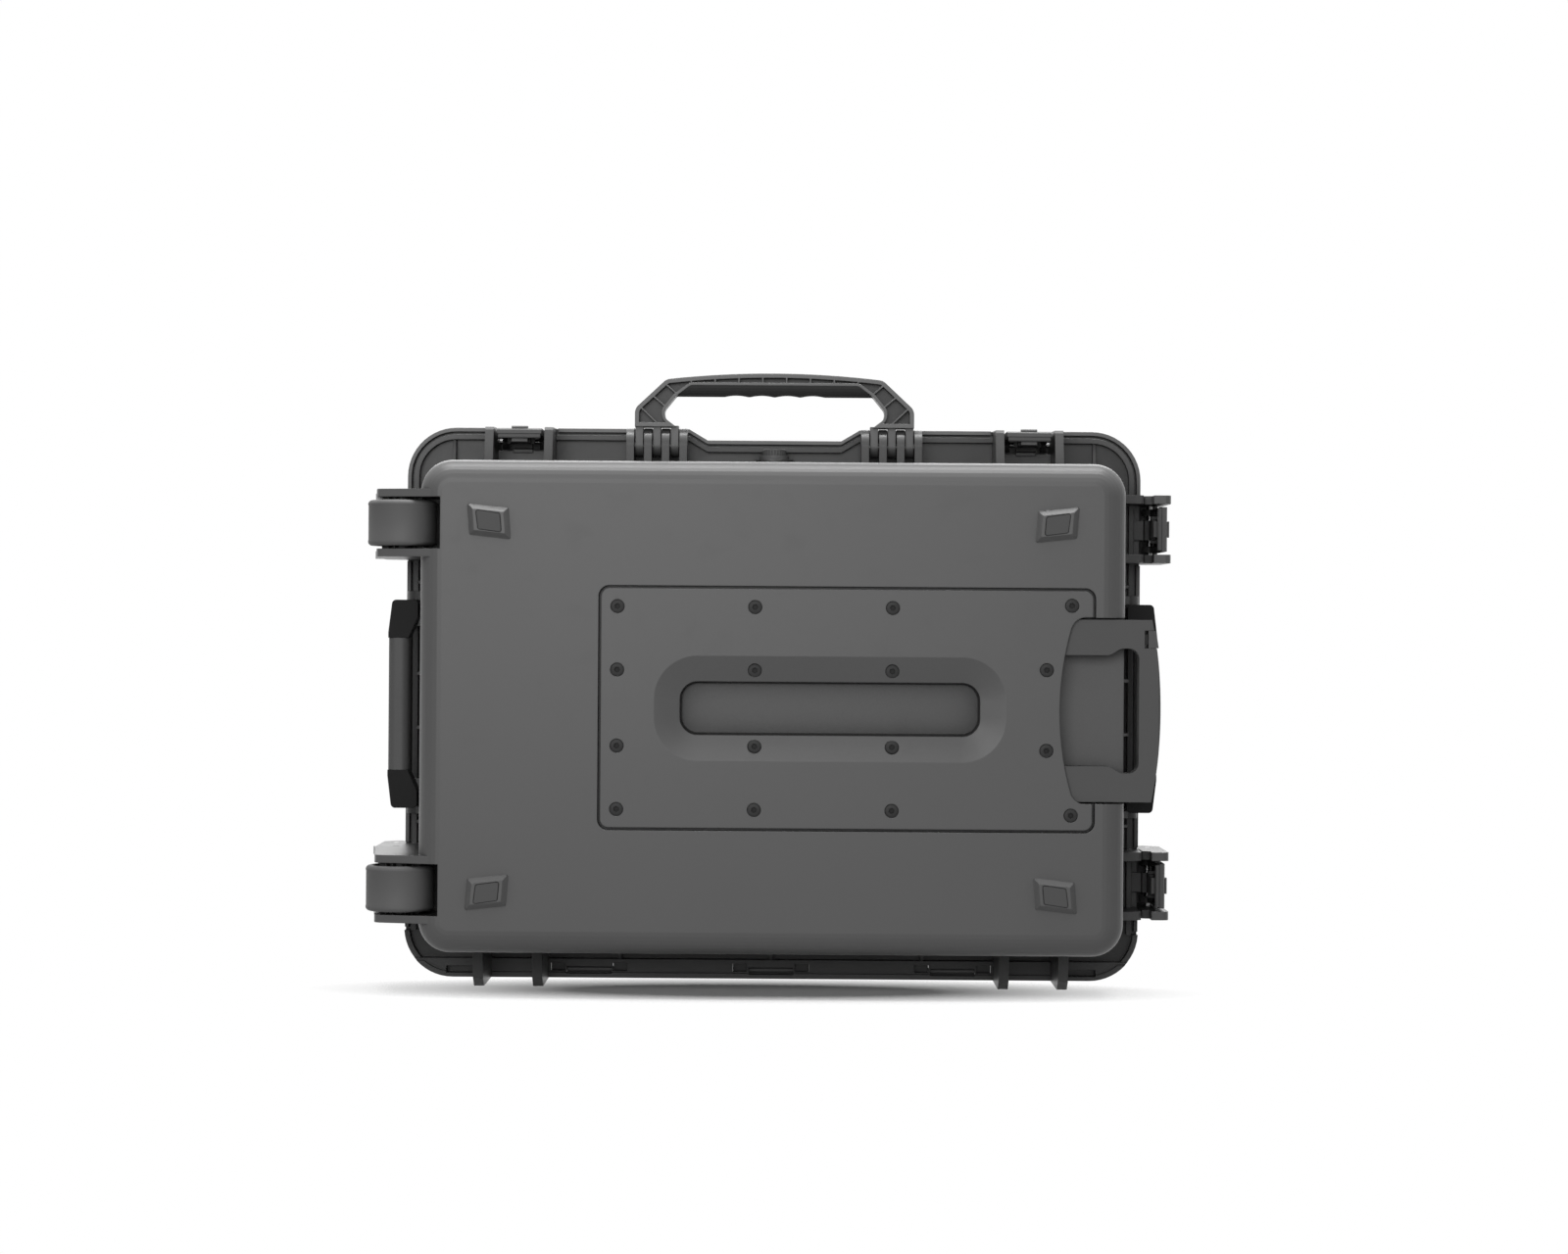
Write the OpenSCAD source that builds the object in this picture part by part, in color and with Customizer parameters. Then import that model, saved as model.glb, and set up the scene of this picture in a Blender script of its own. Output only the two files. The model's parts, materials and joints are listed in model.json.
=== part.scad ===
// Wheeled protective case, standing on its hinge side with the carry handle up.
// The parts are drawn in the case frame: x runs from the wheels to the trolley grip, y from the
// hinge to the carry handle, and z from the parting line towards the bottom of the base, so the
// lid has negative z. stand() then turns the case upright, with its origin under its middle.

/* [Shell] */
// Width of the base at its bottom, wheel side to grip side
shell_w = 613; // [560:1:680]
// Height of the base at its bottom, hinge side to handle side
shell_h = 428; // [400:1:480]
// Depth of the base from the parting line
base_d = 200; // [190:1:230]
// Depth of the lid from the parting line
lid_d = 80; // [60:1:120]
// Thickness of the moulded walls
wall = 4; // [3:0.1:5]
// Draft angle of the walls
draft = 2.5; // [1.5:0.1:3.5]
// Corner radius at the bottom of the base
corner_r = 27; // [24:0.5:40]
// Radius of the edge between the walls and the bottom
edge_r = 20; // [12:0.5:24]
// Radius of the edge between the walls and the top of the lid
lid_edge_r = 16; // [10:0.5:20]
// Gap between base and lid at the parting line
part_gap = 0.3; // [0.2:0.05:0.6]

/* [Rim] */
// How far the rim stands out of the shell at the parting line, left and right
rim_side = 22; // [20:0.1:28]
// How far the rim stands out of the shell at the parting line, hinge and handle side
rim_front = 29.7; // [28:0.1:36]
// Corner radius of the rim
rim_r = 45; // [36:0.5:56]
// Thickness of the rim plates
flange_t = 4; // [3:0.1:5]
// Height of the band along the edge of the rim
band_h = 13; // [10:0.5:15]
// Thickness of that band
band_t = 4.8; // [3:0.1:6]
// Thickness of the lid lip that laps over the edge of the base
lip_t = 3.5; // [2.5:0.1:4]
// Gap between the lid lip and the base
lip_gap = 2.7; // [1:0.1:3]
// How far the lid lip reaches over the base
lip_reach = 8; // [5:0.5:9]
// Distance from the hinge-side edge of the rim to the end of the lip
lip_end = 45; // [40:1:60]
// Depth of the dip in the rim in front of the carry handle
dip_depth = 10.1; // [6:0.1:12]
// Width of the dip at its floor
dip_w = 122.8; // [110:0.2:130]
// Run of each sloping end of the dip
dip_run = 17; // [10:0.5:22]

/* [Seal] */
// Width of the gasket groove
gasket_w = 6; // [5:0.1:7]
// Thickness of the gasket
gasket_t = 4; // [3:0.1:4.5]
// Distance from the shell wall to the gasket
gasket_inset = 2.5; // [2:0.1:3]

/* [Hinge] */
// Diameter of the hinge pins
hinge_pin_d = 6; // [5:0.1:7]
// Outer radius of the hinge knuckles
knuckle_r = 6.5; // [6:0.1:7]
// Distance from the hinge-side edge of the rim to the hinge axis
hinge_inset = 6.6; // [6.5:0.1:8]
// Spacing of the hinge groups
hinge_pitch = 167; // [150:1:180]
// Width of the lid knuckle in the middle of a group
lid_knuckle_w = 41; // [36:0.5:44]
// Width of the base knuckles on both sides of it
base_knuckle_w = 13; // [11:0.5:15]
// Clearance along the pin between knuckles
knuckle_gap = 1.5; // [0.5:0.1:2]
// Depth of the outer apron of the base behind the hinge axis
apron_z = 11; // [10:0.1:12]

/* [Stand ribs] */
// Distance of the pairs of ribs that the case stands on from its ends
stand_inset = 71.5; // [60:0.5:90]
// Spacing of the ribs in a pair
stand_pair = 53; // [45:0.5:60]
// Thickness of the ribs
rib_t = 9; // [7:0.5:10]
// How far the ribs stand out of the rim
stand_out = 0.5; // [0:0.1:6]
// Length of the ribs along the base
stand_base = 103; // [90:1:120]
// Length of the ribs along the lid
stand_lid = 60; // [45:1:66]
// Distance from the parting line to the ribs
stand_start = 12; // [11.5:0.1:14]

/* [Latches] */
// Distance of the front latches from the ends of the base
latch_inset = 75; // [65:0.5:95]
// Distance of the side latches from the hinge and handle sides of the base
latch_side_inset = 52; // [48:0.5:60]
// Width of a latch lever
latch_w = 40.3; // [36:0.1:41]
// Clear width between the guard ribs of a latch
guard_gap = 46; // [43:0.1:48]
// Thickness of the guard ribs
guard_t = 7.75; // [6:0.05:8]
// How far the guard ribs of the side latches stand out past the lever
guard_out = 3.4; // [2:0.1:4]
// Distance from the rim edge out to the lever face on the left and right sides
latch_side_out = 20; // [18.5:0.1:22]
// Length of the lever past the parting line, over the base
lever_len = 58; // [54:0.5:64]
// Length of the lever past the parting line, over the lid
lever_back = 26; // [24:0.5:28]
// Thickness of the lever face
lever_t = 3; // [2.5:0.1:3.2]
// Diameter of the latch pins
latch_pin_d = 5; // [4:0.1:6]
// Distance from the parting line to the latch pin, over the lid
latch_pin_z = 16; // [15:0.5:18]
// Depth of the latch pin under the lever face
latch_pin_in = 9; // [8.5:0.1:10]
// Distance from the parting line to the claw pivot, over the base
claw_z = 30; // [28:0.5:34]
// Width of the claw and its button
claw_w = 14.5; // [12:0.1:18]
// Thickness of the strike that the claw hooks under
strike_t = 6; // [5:0.1:7]
// Width of the strike
strike_w = 18; // [16:0.5:22]

/* [Carry handle] */
// Spacing of the two hinge groups of the carry handle
handle_pitch = 214; // [205:1:225]
// Width of one hinge group, seven leaves
handle_group = 56.4; // [50:0.2:60]
// Clearance between leaves
leaf_gap = 0.86; // [0.6:0.02:1.2]
// Distance of the handle axis from the parting line
handle_z = 32; // [31:0.5:40]
// Distance of the handle axis out of the wall
handle_out = 14.4; // [13.5:0.1:16]
// Height of the handle above its axis
handle_rise = 66; // [60:0.5:76]
// Thickness of the handle
handle_t = 25; // [22:0.5:25.5]
// Diameter of all handle pins
handle_pin_d = 6; // [5:0.1:7]

/* [Side handles] */
// Overall width of a side handle
side_w = 186; // [170:1:190]
// Width of its grip
side_grip_w = 128; // [110:1:130]
// Distance of its axis from the parting line
side_z = 32; // [30:0.5:36]
// Distance of its axis out of the wall
side_out = 11; // [10.8:0.1:13]
// Length from its axis to the middle of the grip
side_len = 62; // [56:0.5:68]
// Thickness of its grip, along the wall
side_grip_t = 27; // [22:0.5:30]

/* [Wheels] */
// Diameter of the wheels
wheel_d = 60; // [56:0.5:62]
// Width of the wheels
wheel_w = 40; // [36:0.5:42]
// Distance of the wheel axle out of the bottom edge of the shell wall
wheel_out = 18.5; // [17:0.1:24]
// Distance of the wheel axle from the bottom of the base
wheel_up = 33; // [31.5:0.5:40]
// Distance of the wheels from the hinge and handle sides of the base
wheel_inset = 54.4; // [50:0.1:62]
// Diameter of the wheel axles
axle_d = 10; // [8:0.5:12]
// Clear width between the fork plates
fork_gap = 45.2; // [44:0.1:50]
// Thickness of the fork plates
fork_t = 6.9; // [5:0.1:8]

/* [Trolley] */
// Spacing of the two trolley tubes
tube_pitch = 125; // [118:1:128]
// Width of the outer tubes
tube_w = 28; // [26:0.5:30]
// Height of the outer tubes
tube_h = 16; // [14:0.5:17]
// Wall of the tubes
tube_wall = 1.5; // [1:0.1:1.6]
// Clearance between inner and outer tube
tube_play = 0.5; // [0.4:0.05:0.7]
// Travel of the trolley grip
trolley_travel = 320; // [260:5:330]
// Depth of the bay in the bottom of the base
bay_d = 28; // [26:0.5:34]
// Length of the cover plate over the bay
cover_l = 426.5; // [380:0.5:440]
// Width of the cover plate
cover_w = 207.5; // [204:0.5:220]
// Distance of the grip-side edge of the plate from that side of the case
cover_inset = 28.5; // [26:0.5:32]
// Seam round the cover plate
cover_seam = 2.5; // [1:0.1:3]
// Thickness of the cover plate
cover_t = 3; // [2.5:0.1:4]
// Depth of the slot in the cover plate
slot_d = 18; // [12:0.5:19]
// Width of the grip
grip_w = 158.5; // [152:0.5:160]
// Width of each grip arm
arm_w = 31; // [29:0.5:33]
// Thickness of the grip
grip_t = 20; // [18:0.5:22]

/* [Feet] */
// Distance of the feet from the wheel and grip sides of the base
foot_inset = 60; // [54:0.5:75]
// Distance of the feet from the hinge and handle sides of the base
foot_side_inset = 53; // [48:0.5:65]
// Height of the foot bosses
foot_h = 4; // [3:0.5:6]
// How far the rubber pads stand out of the bosses
pad_h = 1; // [0.5:0.5:4]

/* [Hidden] */
$fn = 64;
shell_grey = [0.36, 0.37, 0.38];
part_grey = [0.30, 0.31, 0.32];
rubber = [0.07, 0.07, 0.07];
steel = [0.72, 0.73, 0.75];
alloy = [0.62, 0.63, 0.65];
// Spare length of a cut past the face that it goes through
over = 1;
// Clearance between pieces that slide past each other
fit = 0.3;
// Running clearance of bores on their pins, on the diameter
pin_fit = 0.16;

// Case outline
slope = tan(draft);
steep = sqrt(1 + slope * slope);
half_x = shell_w / 2 + base_d * slope;
half_y = shell_h / 2 + base_d * slope;
part_r = corner_r + base_d * slope;
spine_x = shell_w / 2 - corner_r;
spine_y = shell_h / 2 - corner_r;
z0 = part_gap / 2;
rim_x = half_x + rim_side;
rim_y = half_y + rim_front;
base_rim_in = lip_t + lip_gap;
stand_y = rim_y + stand_out;
stand_x = shell_w / 2 - stand_inset;
feet_x = shell_w / 2 - foot_inset;
feet_y = shell_h / 2 - foot_side_inset;
cover_end = shell_w / 2 - cover_inset;
wheel_y = shell_h / 2 - wheel_inset;
case_front = base_d + foot_h + pad_h;
dip_slope = dip_run / dip_depth;

// Hinge
hinge_y = hinge_inset - rim_y;
hinge_clear = knuckle_r + 0.6;
knuckle_x = lid_knuckle_w / 2 + knuckle_gap + base_knuckle_w / 2;
hinge_pin_l = lid_knuckle_w + 2 * (knuckle_gap + base_knuckle_w);
riser_t = 3.5;
apron_t = 3;

// Latches: each is [wall, place along the wall], with wall 0 at the front, 1 right, -1 left
latch_x = shell_w / 2 - latch_inset;
latch_y = shell_h / 2 - latch_side_inset;
latches = [[0, -latch_x], [0, latch_x], [1, -latch_y], [1, latch_y], [-1, latch_y], [-1, -latch_y]];
front_face_in = 2.5;
notch_in = 18;
pin_block = 7;
claw_in = 10;
claw_nose = 17;
claw_play = 0.1;
strike_out = 13.3;
button_out = 2.3;
claw_pin_d = 4;
claw_throw = 12;
guard_half = guard_gap / 2 + guard_t;
lid_guard_len = 45;
side_guard_gap = 0.8;
lip_cut = max(guard_half, abs(latch_y - wheel_y) + fork_gap / 2 + fork_t) + 0.5;

// Bottom of the base
cover_x = cover_end - cover_l / 2;
ledge = 6;
bay_x0 = cover_end - cover_l + ledge;
bay_x1 = cover_end - 32;
bay_y = cover_w / 2 - ledge - 1;
bay_z = base_d - bay_d;
block_x1 = cover_end + cover_seam + 3;
block_y = cover_w / 2 + cover_seam + 3;
seam_d = 9;
notch_y = grip_w / 2 + 1.5;
tube_y = tube_pitch / 2;
tube_in = 14;
tube_z = bay_z + tube_in;
tube_x0 = bay_x0 + 1;
tube_x1 = bay_x1 - 1;
plate_z = base_d - cover_t;
slot_l = cover_l - 165.5;
slot_w = 46.6;
slot_r = 15.5;
slot_x = cover_end - 97.2 - slot_l / 2;
screw_in = slot_w / 2 + 9.7;
screw_out = cover_w / 2 - 15.75;
screw_xy = concat(
  [for (i = [0 : 2], y = [screw_in, screw_out]) [cover_end - cover_l + 14 + 0.28 * i * cover_l, y]],
  [[cover_end - 39.8, screw_in + 2], [cover_end - 18.3, screw_out + 3]]);
screw_d = 5;
screw_head_d = 11.4;
screw_head_t = 1.4;
screw_l = 16;
boss_d = 13;
seat_t = 1.6;
foot_at = [for (i = [-1, 1], j = [-1, 1]) [i, j]];

// Wheels
wheel_x = -(shell_w / 2 + wheel_out);
wheel_z = base_d - wheel_up;
pocket_x = wheel_x + wheel_d / 2 + 6;
pocket_z = wheel_z - wheel_d / 2 - 7;
fork_edge = rim_x + latch_side_out + guard_out;
fork_start = lever_len + 2;

// Handles
handle_y = wall_at(half_y, handle_z) + handle_out;
leaf = handle_group / 7;
ear_r = 9;
carry_ear_r = 16;
side_axis = wall_at(half_x, side_z) + side_out;

function wall_at(half, z) = half - abs(z) * slope;
function wall_mid(half, z) = wall_at(half, z) - wall / 2;
function wall_half(k) = k == 0 ? half_y : half_x;
function rim_edge(k) = k == 0 ? rim_y : rim_x;
function latch_face(k) = k == 0 ? rim_y - front_face_in : rim_x + latch_side_out;
function arc(c, r, a0, a1, n = 8) =
  [for (i = [0 : n]) let (a = a0 + (a1 - a0) * i / n) [c[0] + r * cos(a), c[1] + r * sin(a)]];

// The whole case, turned upright on its stand ribs
module stand() {
  translate([0, (case_front - lid_d) / 2, stand_y]) rotate([90, 0, 0]) children();
}

// Centred rounded rectangle
module rrect(x, y, r) {
  square([x - 2 * r, y], center = true);
  square([x, y - 2 * r], center = true);
  for (i = [-1, 1], j = [-1, 1]) translate([i * (x / 2 - r), j * (y / 2 - r)]) circle(r);
}

// A half profile, distance from the spine against z, carried round a rectangle with round corners
module swept(hx, hy, lo, hi) {
  for (q = [0 : 3])
    translate([(q == 0 || q == 3) ? hx : -hx, q < 2 ? hy : -hy, 0])
      rotate([0, 0, q * 90]) rotate_extrude(angle = 90) children();
  for (a = [0 : 90 : 270])
    rotate([0, 0, a])
      translate([a % 180 == 0 ? hx : hy, 0, 0]) rotate([90, 0, 0])
        linear_extrude(a % 180 == 0 ? 2 * hy : 2 * hx, center = true) children();
  translate([-hx, -hy, lo]) cube([2 * hx, 2 * hy, hi - lo]);
}

// Drafted wall with a round bottom edge, moved in by a wall thickness for the cavity
module wall_profile(d, edge, in, start) {
  end_r = part_r - d * slope;
  cx = end_r + edge * slope - edge * steep;
  polygon(concat([[0, d - in]], arc([cx, d - edge], edge - in, 90, draft),
    [[part_r - start * slope - in * steep, start], [0, start]]));
}

module shell_form(d, edge, in, start) {
  swept(spine_x, spine_y, start, d - in) wall_profile(d, edge, in, start);
}

// A profile of distance out of the wall against z, extruded along a wall at place u
module along(u, len) {
  translate([u, 0, 0]) rotate([90, 0, 90]) linear_extrude(len, center = true) children();
}

// Turns a piece drawn on the handle-side wall to the left or the right wall
module on_wall(k) {
  rotate([0, 0, -90 * k]) children();
}

// A round pin or bore along a wall
module rod(u, y, z, d, len) {
  translate([u, y, z]) rotate([0, 90, 0]) cylinder(d = d, h = len, center = true);
}

// Outline of the rim at a distance in from its edge, with the dip in front of the carry handle
module rim_outline(in) {
  difference() {
    rrect(2 * (rim_x - in), 2 * (rim_y - in), rim_r - in);
    polygon([[-dip_w / 2, rim_y - dip_depth - in], [dip_w / 2, rim_y - dip_depth - in],
      [dip_w / 2 + (dip_depth + in + over) * dip_slope, rim_y + over],
      [-dip_w / 2 - (dip_depth + in + over) * dip_slope, rim_y + over]]);
  }
}

module below(y) {
  translate([-2 * rim_x, y - 4 * rim_y]) square([4 * rim_x, 4 * rim_y]);
}

// Base outline: inside the lid lip, and at full size past the end of the lip
module base_outline(in) {
  rim_outline(base_rim_in + in);
  intersection() {
    rim_outline(in);
    below(lip_end - rim_y - lip_gap);
  }
}

module cavity_outline() {
  rrect(2 * (half_x - wall / 2), 2 * (half_y - wall / 2), part_r - wall / 2);
}

apron_slot_x = half_x - 30;
module base_rim() {
  hinge_edge = hinge_y + hinge_clear;
  translate([0, 0, z0]) {
    linear_extrude(flange_t) difference() {
      base_outline(0);
      cavity_outline();
      below(hinge_edge);
    }
    linear_extrude(band_h - z0) difference() {
      base_outline(0);
      base_outline(band_t);
      below(hinge_edge);
    }
    // Riser in front of the hinge
    linear_extrude(apron_z + apron_t - z0) intersection() {
      difference() {
        rim_outline(0);
        below(hinge_edge);
      }
      below(hinge_edge + riser_t);
    }
  }
  // Apron over the hinge, with its edge band
  translate([0, 0, apron_z]) linear_extrude(apron_t) intersection() {
    rim_outline(0);
    below(hinge_edge + riser_t);
  }
  translate([0, 0, apron_z - 2]) linear_extrude(7) intersection() {
    difference() {
      rim_outline(0);
      rim_outline(band_t);
    }
    below(hinge_edge + 1);
  }
  // Blocks round the pockets at the ends of the apron
  for (s = [-1, 1])
    translate([s * apron_slot_x - 16, hinge_y - 5.2, z0 + 1]) cube([32, hinge_clear + 6.2, apron_z]);
  // Divider ribs in the rim channel
  for (s = [-1, 1], p = [[293, 0], [150, 1]])
    rim_divider(s, p);
  for (x = [-hinge_pitch / 2 - 55, 0, hinge_pitch / 2 + 55])
    channel_rib(x);
}

// Rib across the rim channel, on the hinge and handle sides or on the left and right
module rim_divider(s, p) {
  if (p[1] == 1)
    on_wall(s) for (u = [-110, -23.5, 26, 110]) along(u, 3)
      polygon([[wall_mid(half_x, 0), z0], [rim_x - base_rim_in - 1, z0],
        [rim_x - base_rim_in - 1, band_h - 3], [wall_mid(half_x, 30), 30]]);
  else
    along(s * p[0] * half_x / 314, 3)
      polygon([[wall_mid(half_y, 0) - 10, z0], [rim_y - base_rim_in - 1, z0],
        [rim_y - base_rim_in - 1, band_h - 3], [wall_mid(half_y, 16) - 8, 16]]);
}

module channel_rib(x) {
  mirror([0, 1, 0]) along(x, 3)
    polygon([[wall_mid(half_y, 0), z0], [-hinge_y - hinge_clear - 1, z0],
      [-hinge_y - hinge_clear - 1, apron_z], [wall_mid(half_y, 30), 30]]);
}

// Knuckles of one hinge half: x places, width, and the side that their webs lie on
module knuckles(places, w, side) {
  for (x = places) {
    rod(x, hinge_y, 0, 2 * knuckle_r, w);
    translate([x - w / 2, hinge_y, side > 0 ? z0 : -knuckle_r])
      cube([w, hinge_clear + over, knuckle_r - z0]);
  }
}

base_knuckle_x = [for (g = [-1 : 1], s = [-1, 1]) g * hinge_pitch + s * knuckle_x];
lid_knuckle_x = [for (g = [-1 : 1]) g * hinge_pitch];

// Pair of guard ribs beside a latch, from the wall out to the edge of the rim
module guards(k, u, len) {
  face = rim_edge(k);
  half = wall_half(k);
  guard_pair(k, u)
    polygon([[wall_mid(half, 0) + 0.2, z0], [face, z0], [face - 1.5, len - 3], [face - 4, len],
      [wall_mid(half, len + 10), len + 10]]);
}

module guard_pair(k, u) {
  on_wall(k) for (s = [-1, 1]) along(u + s * (guard_gap + guard_t) / 2, guard_t) children();
}

// Outer guard ribs of a side latch: they belong to the lid and reach past the rim of the base
module lid_guards(k, u) {
  face = latch_face(k) + guard_out;
  root = rim_edge(k) + side_guard_gap;
  past_strike = latch_face(k) - strike_out + 1.1;
  guard_pair(k, u)
    polygon([[rim_edge(k) - 2, -z0 - 1], [rim_edge(k) - 2, -lid_guard_len + 2], [face - 12, -lid_guard_len],
      [face, -lid_guard_len + 12], [face, lever_len - 5], [face - 1.5, lever_len - 1.5], [face - 5, lever_len],
      [past_strike, lever_len], [past_strike, lever_len - 18], [root, lever_len - 20], [root, -z0 - 1]]);
}

// Web across the back of a latch recess, between the guard ribs of the lid
module latch_web(k, u) {
  root = wall_mid(wall_half(k), lid_guard_len);
  on_wall(k) translate([u - guard_gap / 2 - 1, root, -lid_guard_len])
    cube([guard_gap + 2, latch_face(k) + 1 - root, web_t]);
}

// Strike tongue that the claw hooks under
module strike(k, u) {
  face = latch_face(k);
  root = min(face - notch_in, rim_edge(k) - base_rim_in) - 2;
  on_wall(k) translate([u - strike_w / 2, root, z0])
    cube([strike_w, face - strike_out - root, strike_t - z0]);
}

// Recess in the rim between the guard ribs
module latch_notch(k, u, z_min, z_max) {
  on_wall(k) translate([u - guard_gap / 2, latch_face(k) - notch_in, z_min])
    cube([guard_gap, 2 * notch_in, z_max - z_min]);
}

// Ribs on the hinge side that the case stands on
module stand_ribs(len) {
  foot = stand_y;
  for (i = [-1, 1], j = [-1, 1])
    mirror([0, 1, 0]) along(i * stand_x + j * stand_pair / 2, rib_t)
      polygon([[wall_mid(half_y, 12) - 0.5, stand_start], [foot, stand_start], [foot, len - 12],
        [foot - 8, len], [wall_mid(half_y, len) + 0.5, len + 8]]);
}

// Raised block that holds the telescopic handle, seen from inside the case
module bay_walls() {
  low = bay_z - wall;
  translate([bay_x0 - ledge - cover_seam - 1.5, -block_y, low])
    cube([block_x1 - bay_x0 + ledge + cover_seam + 1.5, 2 * block_y, base_d]);
  translate([block_x1 - over, -notch_y - wall, low]) cube([half_x, 2 * (notch_y + wall), base_d]);
}

module bay() {
  // Bay with its screw bosses left standing
  difference() {
    translate([bay_x0, -bay_y, bay_z]) cube([bay_x1 - bay_x0, 2 * bay_y, bay_d + over]);
    for (p = screw_xy, s = [-1, 1])
      if (p[0] < bay_x1)
        translate([p[0], s * p[1], bay_z - over]) cylinder(d = boss_d, h = bay_d + 2 * over);
  }
  // Room for the dished tray of the cover plate
  translate([slot_x, 0, 0]) swept(slot_hx, slot_hy, base_d - slot_d - tray_t - fit, base_d + over)
    slot_profile(tray_t + fit, base_d + over);
  // Ledge that the cover plate lies in
  translate([cover_x, 0, plate_z])
    linear_extrude(cover_t + over) rrect(cover_l + 2 * cover_seam, cover_w + 2 * cover_seam, 9.5);
  // Deep seam round the plate
  translate([cover_x, 0, base_d - seam_d]) linear_extrude(seam_d + over) difference() {
    rrect(cover_l + 2 * cover_seam, cover_w + 2 * cover_seam, 9.5);
    rrect(cover_l - 1, cover_w - 1, 7);
    translate([bay_x1 - cover_x - over, -notch_y]) square([cover_l, 2 * notch_y]);
  }
  // Recess for the grip, open at the side of the case
  translate([bay_x1 - over, -notch_y, bay_z]) cube([half_x, 2 * notch_y, bay_d + over]);
  // Screw holes
  for (p = screw_xy, s = [-1, 1])
    translate([p[0], s * p[1], 0]) {
      translate([0, 0, plate_z - screw_l]) cylinder(d = screw_d, h = screw_l + over);
      translate([0, 0, seat_z(p) - seat_t]) cylinder(d = boss_d + 2, h = bay_d);
    }
}

module at_wheel(s) {
  translate([wheel_x, s * wheel_y, wheel_z]) rotate([90, 0, 0]) children();
}

// The same, with its z axis pointing away from the middle of the case
module at_axle(s) {
  at_wheel(s) mirror([0, 0, s > 0 ? 1 : 0]) children();
}

// Box that a wheel stands in, open to the side and to the bottom of the base
module wheel_pocket(s, grow) {
  side = half_x + wheel_d;
  translate([-side, s * wheel_y - fork_gap / 2 - grow, pocket_z - grow])
    cube([side + pocket_x + grow, fork_gap + 2 * grow, base_d]);
}

// Fork plates beside a wheel, in line with the guard ribs of the latch next to it
module fork(s) {
  rotate([0, 0, 90]) for (t = [-1, 1])
    along(s * wheel_y + t * (fork_gap + fork_t) / 2, fork_t)
      polygon([[wall_mid(half_x, 0) + 0.2, z0], [rim_x, z0], [rim_x, fork_start], [fork_edge, fork_start],
        [fork_edge - 4.6, fork_start + 26], [-wheel_x + 21.2, wheel_z + 11], [-wheel_x + 19.6, wheel_z + 15],
        [-wheel_x + 16, wheel_z + 18.2], [-pocket_x, base_d - 0.4], [-pocket_x, base_d - wall / 2],
        [wall_mid(half_x, wheel_z - 10), wheel_z - 10]]);
}

// Ears of the carry handle: the even leaves of the group belong to the case
module handle_ears() {
  for (s = [-1, 1], i = [0 : 2 : 6])
    along(s * handle_pitch / 2 + (i - 3) * leaf, leaf - leaf_gap) union() {
      translate([handle_y, handle_z]) circle(r = carry_ear_r);
      translate([wall_mid(half_y, 60), handle_z - carry_ear_r])
        square([handle_y - wall_mid(half_y, 60), 2 * carry_ear_r]);
    }
}

// Ears at both ends of a side handle
side_ear_t = 8;
side_arm_t = 15;
module side_ears(k) {
  on_wall(k) for (s = [-1, 1], e = [-1, 1]) {
    u = s * (side_w / 2 - side_arm_t / 2) + e * (side_arm_t + side_ear_t + 2 * fit) / 2;
    along(u, side_ear_t) union() {
      translate([side_axis, side_z]) circle(r = ear_r);
      polygon([[wall_mid(half_x, 12), 12], [side_axis, side_z - ear_r], [side_axis, side_z + ear_r],
        [wall_mid(half_x, 54), 54]]);
    }
  }
}

// Parallelogram bosses under the feet, their long diagonals pointing at the middle of the case
foot_pts = [[-19.2, 15.8], [17, 11.9], [19.2, -15.8], [-17, -11.9]];
pad_pts = [[-11, 9.5], [9.4, 6.5], [10.8, -9.2], [-8.9, -6.6]];
foot_side = 4.6;
pad_gap = 0.5;
module at_foot(f) {
  translate([f[0] * feet_x, f[1] * feet_y, base_d])
    mirror([f[0] > 0 ? 1 : 0, 0, 0]) mirror([0, f[1] < 0 ? 1 : 0, 0]) children();
}

module round_poly(pts, r) {
  offset(r = r) offset(delta = -r) polygon(pts);
}

// Boss with sloping sides, each cut by a leaning block along its edge
module foot_boss() {
  difference() {
    translate([0, 0, -over]) linear_extrude(foot_h + over) round_poly(foot_pts, 3);
    for (i = [0 : 3]) {
      a = foot_pts[i];
      way = foot_pts[(i + 1) % 4] - a;
      translate([a[0], a[1], 0]) rotate([0, 0, atan2(way[1], way[0])]) rotate([atan(foot_side / foot_h), 0, 0])
        translate([-20, 0, -10]) cube([80, 20, 40]);
    }
  }
}

// Valve seat on the wall under the dip of the rim
valve_z = 27;
valve_d = 27;
valve_cap_d = 21.6;
valve_y = wall_at(half_y, valve_z);
valve_in = wall + 1;
module valve_boss() {
  translate([0, valve_y - valve_in, valve_z]) rotate([-90, 0, 0]) cylinder(d = valve_d + 8, h = valve_in + 2);
}

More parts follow.
